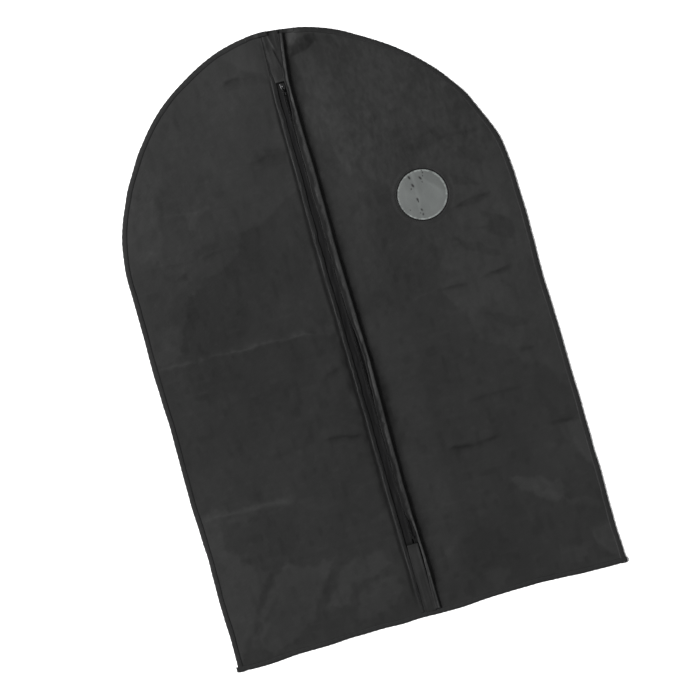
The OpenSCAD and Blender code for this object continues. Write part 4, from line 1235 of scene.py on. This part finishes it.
def make_binding(kind):
    P, nrm = outline_path(kind)
    seg = np.r_[0, np.cumsum(np.linalg.norm(np.diff(P, axis=0), axis=1))]
    rip = 0.06 * np.sin(seg / 1.55 + 1.4 * np.sin(seg / 23)) + 0.09 * N3(seg, seg * 0 + 7, 11)
    wid = 8.0 + 0.35 * N2(seg, seg * 0 + 3, 15)
    out = 0.45 * N1(seg, seg * 0 + 5, 26) + 0.18 * np.sin(seg / 1.55)
    section = [(1.00, "t", 0.05), (0.95, "t", 0.27), (0.80, "t", 0.50), (0.55, "t", 0.58), (0.30, "t", 0.56), (0.14, "t", 0.40),
               (0.05, "m", 0.78), (0.01, "m", 0.50), (0.03, "m", 0.22), (0.12, "b", 0.04), (0.40, "b", 0.0), (0.80, "b", 0.02),
               (0.98, "b", 0.10), (0.99, "b", 0.26), (0.80, "b", 0.30), (0.30, "b", 0.32), (0.15, "m", 0.28), (0.15, "m", 0.55),
               (0.30, "t", 0.03), (0.80, "t", 0.03)]
    shade = [0.3, 0.25, 0.05, 0, -0.2, -1.2, -2.4, -2.6, -2.6, -2.4, -0.5, 0, 0, 0, 0, 0, 0, 0, 0, 0]

    def face(x, y):
        return front_z(np.clip(x, -298.5, 298.5), np.clip(y, 1.3, 910)) + 0.04

    wall = face(P[:, 0] + nrm[:, 0] * 1.4, P[:, 1] + nrm[:, 1] * 1.4) + 0.45
    rings = []
    for f, where, dz in section:
        inset = f * wid - out * (1 - f)
        x, y = P[:, 0] + nrm[:, 0] * inset, P[:, 1] + nrm[:, 1] * inset
        if where == "t":
            z = face(x, y) + dz + rip * (0.3 + 0.7 * min(1, dz / 0.5)) * (1 if dz > 0.2 else 0)
        elif where == "m":
            z = wall * dz
        else:
            z = dz + 0 * x
        rings.append(to_row(x, y, z))
    V = np.stack(rings, 1)
    k = V.shape[1]
    o = new_object(f"edge_binding_{kind}", V.reshape(-1, 3), tube_faces(len(P), k), TRIM)
    # painted shade darkens the binding's outer fold, and a little painted light lies along its inner edge, one value
    # per ring of the section
    paint(o, np.tile(np.array(shade) * 0.3, len(P)))
    outward(o)
    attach(o, "bag")
    nodes = {"bottom": ["binding_bottom"], "left": ["binding_left", "binding_arch_left"], "right": ["binding_right", "binding_arch_right"]}[kind]
    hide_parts(*nodes)
    # two rows of stitches
    st = []
    for inset, pitch in ((1.7, 2.6), (6.2, 3.0)):
        s = np.arange(4, seg[-1] - 4, pitch)
        for a, b in ((s, s + pitch * 0.72),):
            def at(q):
                x = np.interp(q, seg, P[:, 0]); y = np.interp(q, seg, P[:, 1])
                nx = np.interp(q, seg, nrm[:, 0]); ny = np.interp(q, seg, nrm[:, 1])
                x, y = x + nx * inset, y + ny * inset
                f = inset / 8.0
                lift = np.interp(f, [0.14, 0.3, 0.55, 0.80, 0.95], [0.40, 0.56, 0.58, 0.50, 0.27])
                z = front_z(np.clip(x, -298.5, 298.5), np.clip(y, 1.3, 910)) + 0.04 + lift + np.interp(q, seg, rip)
                return to_row(x, y, z + 0.02)
            st.append((at(a), at(b)))
    A = np.concatenate([p[0] for p in st]); B = np.concatenate([p[1] for p in st])
    t = threads(f"binding_stitches_{kind}", A, B, 0.00022, THREAD)
    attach(t, "bag")
    return o, t


bindings = {k: make_binding(k) for k in ("left", "right", "bottom")}


# ---------------------------------------------------------------- hems of the hanger opening
def make_hem(which):
    a0 = math.degrees(math.acos((abs(-25.0) / HW) ** (PW / 2)))
    a1 = math.degrees(math.acos((abs(51.0) / HW) ** (PW / 2)))
    aa = np.linspace(180 - a0, a1, 70)
    rr = np.where(aa <= 90, aa, 180 - aa)
    ox, oy = outline_pt(rr, 0)
    ix, iy = outline_pt(rr, 1)
    s = np.where(aa <= 90, 1, -1)
    P = np.stack([s * ox, oy], -1)
    n = np.stack([s * (ix - ox), iy - oy], -1)
    sec = [(7.2, 0.06), (7.0, 0.42), (5.5, 0.62), (3.0, 0.60), (1.0, 0.55), (0.1, 0.25), (0.0, -0.15), (0.1, -0.55), (1.0, -0.80),
           (4.0, -0.82), (6.4, -0.80), (6.6, -0.50), (4.0, -0.46), (1.0, -0.45), (0.85, 0.0), (1.2, 0.03), (4.0, 0.03)]
    rings = []
    for inset, dz in sec:
        x, y = P[:, 0] + n[:, 0] * inset, P[:, 1] + n[:, 1] * inset
        if which == "front":
            z = front_z(x, y) + dz + 0.10 * N3(x, y, 9)
            # over the zip's end the hem follows the tabs
            over = sstep(x, -12, -2) * (1 - sstep(x, 26, 38))
            z = z + over * 1.15
        else:
            z = 0.75 + dz + 0.35
        rings.append(to_row(x, y, z))
    V = np.stack(rings, 1)
    o = new_object(f"hanger_opening_hem_{which}", V.reshape(-1, 3), tube_faces(len(P), V.shape[1]), TRIM)
    outward(o)
    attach(o, "bag")
    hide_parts(f"hook_hem_{which}")
    return o


hems = {w: make_hem(w) for w in ("front", "back")}


# ---------------------------------------------------------------- stitches along the welts and the window
def seam(name, pts_fn, length, pitch, side=None, r=0.00020, body="bag", gap=0.30):
    q = np.arange(0, length, pitch)
    A, B = pts_fn(q), pts_fn(q + pitch * (1 - gap))
    o = threads(name, A, B, r, THREAD)
    if side is None:
        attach(o, body)
    else:
        bend(o, row_to_bag(o))
    return o


def left_seam(q):
    y = 14 + q
    c = welt_left_x(y)
    lv = level(np.full_like(y, ZIPX), y)
    x = c - 0.4
    return to_row(x, y, lv + 1.46 + 0.05, False)


def right_seam(q):
    y = 14 + q
    c = welt_right_x(y)
    e = welt_right_edge(y)
    lv = level(np.full_like(y, ZIPX), y)
    x = e + 0.70 * (c - e)
    return to_row(x, y, lv + 2.90, False)


left_stitch = seam("zip_stitches_left", left_seam, 880, 3.0, -1)
right_stitch = seam("zip_stitches_right", right_seam, 880, 3.0, 1)


def window_ring(q):
    a = q / 41.6
    x, y = 159.4 + 41.6 * np.cos(a), 610.4 + 41.6 * np.sin(a)
    return to_row(x, y, front_z(x, y) + 0.05)


window_stitch = seam("window_stitches", window_ring, 2 * math.pi * 41.6, 2.6, 1)


def make_window():
    cx, cy = 159.4, 610.4
    R = 44.0
    rad = np.concatenate([np.linspace(0, 35.4, 50), np.linspace(35.9, 39.2, 9), np.linspace(40, R, 5)])
    n = 256
    ang = np.linspace(0, 2 * math.pi, n, endpoint=False)
    verts, faces = [], []
    def zf(x, y):
        r = np.hypot(x - cx, y - cy)
        # the film hangs just under the cloth and bulges a little in the hole
        edge = front_z(cx + (x - cx) / np.maximum(r, 1e-6) * 41, cy + (y - cy) / np.maximum(r, 1e-6) * 41) if True else 0
        base = front_z(x, y) - 0.55
        flat = 9.35
        z = lerp(np.minimum(flat + 0.22 * N2.fractal(x, y, 30, 2), base + 0.3), base, sstep(r, 30, 39))
        # an old fold down the film, pinched in places
        fx = 149.5 + 1.6 * np.sin((y - 610) / 17.0)
        z = z - 0.16 * np.exp(-np.abs(x - fx) / 2.2)
        z = z + 0.10 * N3(x, y, 9) - 0.22 * flecks(x, y)
        return z

    def flecks(x, y):
        """Small pinched marks along two old folds of the film."""
        f = 0
        for a, b, ln, wd, tilt in ((147.5, 639.8, 2.7, 1.6, 0.3), (149.5, 627.0, 2.9, 1.5, 0.45), (146.0, 622.6, 1.2, 0.8, -0.5), (150.8, 605.2, 2.5, 1.5, 0.2),
                                   (151.2, 601.7, 1.4, 0.8, 0.1), (152.6, 588.8, 1.9, 1.2, 0.5), (152.9, 581.6, 1.7, 1.0, -0.3), (149.6, 584.5, 0.9, 0.7, 0.2),
                                   (163.2, 635.0, 3.0, 1.4, 0.55), (168.8, 641.8, 1.3, 0.7, 0.1), (167.6, 637.2, 1.1, 0.6, 0.2), (168.6, 645.2, 1.0, 0.7, 0.0),
                                   (164.6, 628.6, 1.0, 0.6, 0.5), (136.0, 592.6, 0.9, 0.6, 0.2)):
            u = (x - a) * math.cos(tilt) + (y - b) * math.sin(tilt)
            v = -(x - a) * math.sin(tilt) + (y - b) * math.cos(tilt)
            f = f + np.exp(-((u / wd) ** 2 + (v / ln) ** 2) ** 1.3)
        return np.clip(f, 0, 1)

    def film_tone(x, y):
        r = np.hypot(x - cx, y - cy)
        a = np.arctan2(y - cy, x - cx)
        jag = N3(a * 60, r * 0, 5) * 0.8 + N4(a * 60, r * 0, 2.2) * 0.5
        rim = sstep(r, 34.9 - jag, 35.9 - 0.5 * jag) * np.clip(0.85 + 0.9 * N5(a * 60, r * 0, 6) + 0.6 * N3(a * 60, r * 0, 2), 0, 1.7)
        bands = 0.35 * N2((x + y) * 0.9, (y - x) * 0.25, 16) + 0.22 * N4(x, y, 26)
        # painted light and painted shade on the two sides of an old fold down the film, and a painted highlight along a
        # diagonal crease with painted shade beside it
        q = x - 151.5 - 2.2 * np.sin((y - 600) / 20)
        line = 0.22 * np.exp(-(q / 2.0) ** 2) - 0.18 * np.exp(-((q - 4.5) / 2.0) ** 2)
        diag = (x - 166.4) * 0.727 + (y - 631.5) * 0.686
        line = line + 0.35 * np.exp(-(diag / 1.8) ** 2) * sstep(x, 163, 168) * (1 - sstep(x, 180, 187)) - 0.30 * sstep(diag, 1.5, 4) * sstep(x, 164, 172) * (1 - 0.5 * sstep(diag, 14, 24))
        return 0.6 * bands + 2.6 * rim + line - 4.2 * flecks(x, y)
    pts = [(cx, cy)]
    for r in rad[1:]:
        for a in ang:
            pts.append((cx + r * math.cos(a), cy + r * math.sin(a)))
    pts = np.array(pts)
    z = zf(pts[:, 0], pts[:, 1])
    top = np.stack([pts[:, 0], pts[:, 1], z], -1)
    low = top - [0, 0, 0.25]
    N = len(pts)
    for j in range(n):
        k = (j + 1) % n
        faces.append((0, 1 + j, 1 + k))
        faces.append((N, N + 1 + k, N + 1 + j))
    m = len(rad) - 1
    for i in range(m - 1):
        for j in range(n):
            k = (j + 1) % n
            a, b = 1 + i * n, 1 + (i + 1) * n
            faces.append((a + j, b + j, b + k, a + k))
            faces.append((N + a + j, N + a + k, N + b + k, N + b + j))
    a = 1 + (m - 1) * n
    for j in range(n):
        k = (j + 1) % n
        faces.append((a + j, N + a + j, N + a + k, a + k))
    P = np.concatenate([top, low])
    o = new_object("window_film_disc", to_row(P[:, 0], P[:, 1], P[:, 2]), faces, FILM)
    paint(o, film_tone(P[:, 0], P[:, 1]))
    outward(o)
    bend(o, P[:, :2])
    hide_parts("window_film")
    # the turned and sealed edge of the cloth round the hole
    n2 = 288
    sec = 10
    V = []
    for i in range(n2):
        a = 2 * math.pi * i / n2
        for j in range(sec):
            b = 2 * math.pi * j / sec
            rr = 38.7 + (0.95 + 0.18 * math.sin(a * 23) + 0.12 * math.sin(a * 57 + 1)) * math.cos(b)
            x, y = cx + rr * math.cos(a), cy + rr * math.sin(a)
            V.append((x, y, 0.30 * math.sin(b), a))
    V = np.array(V)
    rip = 0.05 * np.sin(V[:, 3] * 48)
    zc = front_z(cx + 39.2 * np.cos(V[:, 3]), cy + 39.2 * np.sin(V[:, 3]))
    Z = zc + V[:, 2] + rip + 0.02
    f = []
    for i in range(n2):
        for j in range(sec):
            i2, j2 = (i + 1) % n2, (j + 1) % sec
            f.append((i * sec + j, i2 * sec + j, i2 * sec + j2, i * sec + j2))
    ring = new_object("window_edge", to_row(V[:, 0], V[:, 1], Z), f, TRIM)
    # painted shade: the ring round the hole is darkened all round, to read as a dark outline
    paint(ring, np.full(len(V), -2.2))
    outward(ring)
    bend(ring, V[:, :2])
    return o, ring


window, window_edge = make_window()


# ---------------------------------------------------------------- slider, bridge and pull
def sweep(path, normal, binormal, a, b, n=12, power=2.6, closed=False):
    """Tube with a rounded section of half-widths a and b along a path. All in mm, in the bag's coordinates."""
    path, normal, binormal = np.asarray(path, float), np.asarray(normal, float), np.asarray(binormal, float)
    t = np.linspace(0, 2 * math.pi, n, endpoint=False)
    c, s_ = np.cos(t), np.sin(t)
    u, v = np.sign(c) * np.abs(c) ** (2 / power), np.sign(s_) * np.abs(s_) ** (2 / power)
    a, b = np.broadcast_to(a, len(path)), np.broadcast_to(b, len(path))
    V = path[:, None] + normal[:, None] * (a[:, None] * u)[..., None] + binormal[:, None] * (b[:, None] * v)[..., None]
    m = len(path)
    F = []
    for i in range(m if closed else m - 1):
        for j in range(n):
            i2, j2 = (i + 1) % m, (j + 1) % n
            F.append((i * n + j, i2 * n + j, i2 * n + j2, i * n + j2))
    if not closed:
        F += [tuple(range(n - 1, -1, -1)), tuple(range((m - 1) * n, m * n))]
    return V.reshape(-1, 3), F


def joined(name, parts, mat, body, nodes):
    V, F, k = [], [], 0
    for v, f in parts:
        V.append(v); F += [tuple(q + k for q in g) for g in f]; k += len(v)
    V = np.concatenate(V)
    o = new_object(name, to_row(V[:, 0], V[:, 1], V[:, 2], False), F, mat)
    outward(o)
    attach(o, body)
    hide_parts(*nodes)
    return o


def plate(z0, z1, dome):
    """A slider plate: wide shoulders at the top, narrower at the tail, with rounded edges."""
    ys = 818.0 + 10.0 * (0.5 - 0.5 * np.cos(np.linspace(0, math.pi, 25)))
    half = curve(ys, [(818, 2.1), (818.5, 2.75), (820, 3.05), (823, 3.4), (826, 3.5), (827.3, 3.2), (828, 2.4)])
    P = np.stack([0 * ys + ZIPX, ys, 0 * ys + (z0 + z1) / 2], -1)
    N, Bn = np.tile([1.0, 0, 0], (len(ys), 1)), np.tile([0, 0, 1.0], (len(ys), 1))
    thick = (z1 - z0) / 2 * np.clip(1 - ((ys - 823) / 5.25) ** 6, 0.15, 1)
    v, f = sweep(P, N, Bn, half, thick, n=28, power=5.0)
    top = v[:, 2] > (z0 + z1) / 2
    v[:, 2] += np.where(top, dome * (1 - ((v[:, 0] - ZIPX) / 3.5) ** 2) * (1 - ((v[:, 1] - 823) / 5.2) ** 2), 0)
    return v, f


def wall(x, half):
    ys = np.linspace(820.6, 826.8, 9)
    P = np.stack([0 * ys + x, ys, 0 * ys + 10.3], -1)
    return sweep(P, np.tile([1.0, 0, 0], (9, 1)), np.tile([0, 0, 1.0], (9, 1)), half, 0.80, n=12, power=4)


def make_slider():
    post = np.array([[ZIPX, 826.1, z] for z in np.linspace(8.1, 11.1, 5)])
    parts = [plate(7.4, 8.3, 0.0), plate(10.9, 11.65, 0.30), wall(0.42, 0.36), wall(6.58, 0.36),
             sweep(post, np.tile([1.0, 0, 0], (5, 1)), np.tile([0, 1.0, 0], (5, 1)), 0.75, 1.25, n=16, power=2.2)]
    joined("zip_slider", parts, STEEL, "slider", ["slider_body"])
    # bridge: a rounded strap bent over the pin
    t = np.linspace(-0.12, math.pi + 0.12, 29)
    cy, cz, ry, rz = 822.2, 11.75, 2.45, 2.45
    path = np.stack([0 * t + ZIPX, cy - ry * np.cos(t), cz + rz * np.abs(np.sin(t)) ** 0.8 * np.sign(np.sin(t))], -1)
    tan = np.gradient(path, axis=0); tan /= np.linalg.norm(tan, axis=1, keepdims=True)
    nor = np.stack([0 * t, -tan[:, 2], tan[:, 1]], -1)
    joined("zip_slider_bridge", [sweep(path, nor, np.tile([1.0, 0, 0], (len(t), 1)), 0.36, 0.62 + 0.25 * np.abs(np.cos(t)) ** 3, n=16, power=3.2)],
           CHROME, "slider", ["slider_bridge"])
    # pull: a pin, two arms, a neck and a loop with a hole
    py, pz = 822.2, 12.6
    pin = np.array([[ZIPX + q, py, pz] for q in (-1.95, -1.0, 0, 1.0, 1.95)])
    parts = [sweep(pin, np.tile([0, 1.0, 0], (5, 1)), np.tile([0, 0, 1.0], (5, 1)), 0.42, 0.42, n=14, power=2)]
    for s_ in (-1, 1):
        q = np.linspace(0, 1, 9)
        arm = np.stack([ZIPX + s_ * lerp(1.62, 1.25, sstep(q, 0.3, 1)), py + 0.25 - 5.2 * q, pz - 0.05 * np.sin(q * 3)], -1)
        parts.append(sweep(arm, np.tile([1.0, 0, 0], (9, 1)), np.tile([0, 0, 1.0], (9, 1)), 0.50, 0.40, n=12, power=2.8))
    ys = np.linspace(py - 3.9, py - 7.6, 9)
    neck = np.stack([0 * ys + ZIPX, ys, 0 * ys + pz], -1)
    parts.append(sweep(neck, np.tile([1.0, 0, 0], (9, 1)), np.tile([0, 0, 1.0], (9, 1)), curve(-ys, [(-py + 3.9, 1.5), (-py + 5.5, 1.35), (-py + 7.6, 1.75)]), 0.38, n=16, power=4))
    a = np.linspace(0, 2 * math.pi, 40, endpoint=False)
    loop = np.stack([ZIPX + 1.80 * np.cos(a), py - 10.45 + 2.95 * np.sin(a), 0 * a + pz], -1)
    out = np.stack([np.cos(a) / 1.80, np.sin(a) / 2.95, 0 * a], -1)
    out /= np.linalg.norm(out, axis=1, keepdims=True)
    parts.append(sweep(loop, out, np.tile([0, 0, 1.0], (40, 1)), 0.60, 0.40, n=14, power=2.6, closed=True))
    joined("zip_pull", parts, BLACK_METAL, "pull", ["pull_tab"])


make_slider()

# the stops keep their CAD shape
for name in ("top_stops", "bottom_stop"):
    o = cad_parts[name]
    o.data.materials.clear()
    o.data.materials.append(BLACK_METAL if name == "top_stops" else STOP_METAL)

# ---------------------------------------------------------------- floor
def make_floor():
    n = 24
    g = np.linspace(-14, 14, n)
    X, Y = np.meshgrid(g, g)
    idx = np.arange(n * n).reshape(n, n)
    q = np.stack([idx[:-1, :-1], idx[:-1, 1:], idx[1:, 1:], idx[1:, :-1]], -1).reshape(-1, 4)
    o = new_object("floor", np.stack([X.ravel(), Y.ravel(), X.ravel() * 0 - 0.0004], -1), q, floor_material())


make_floor()
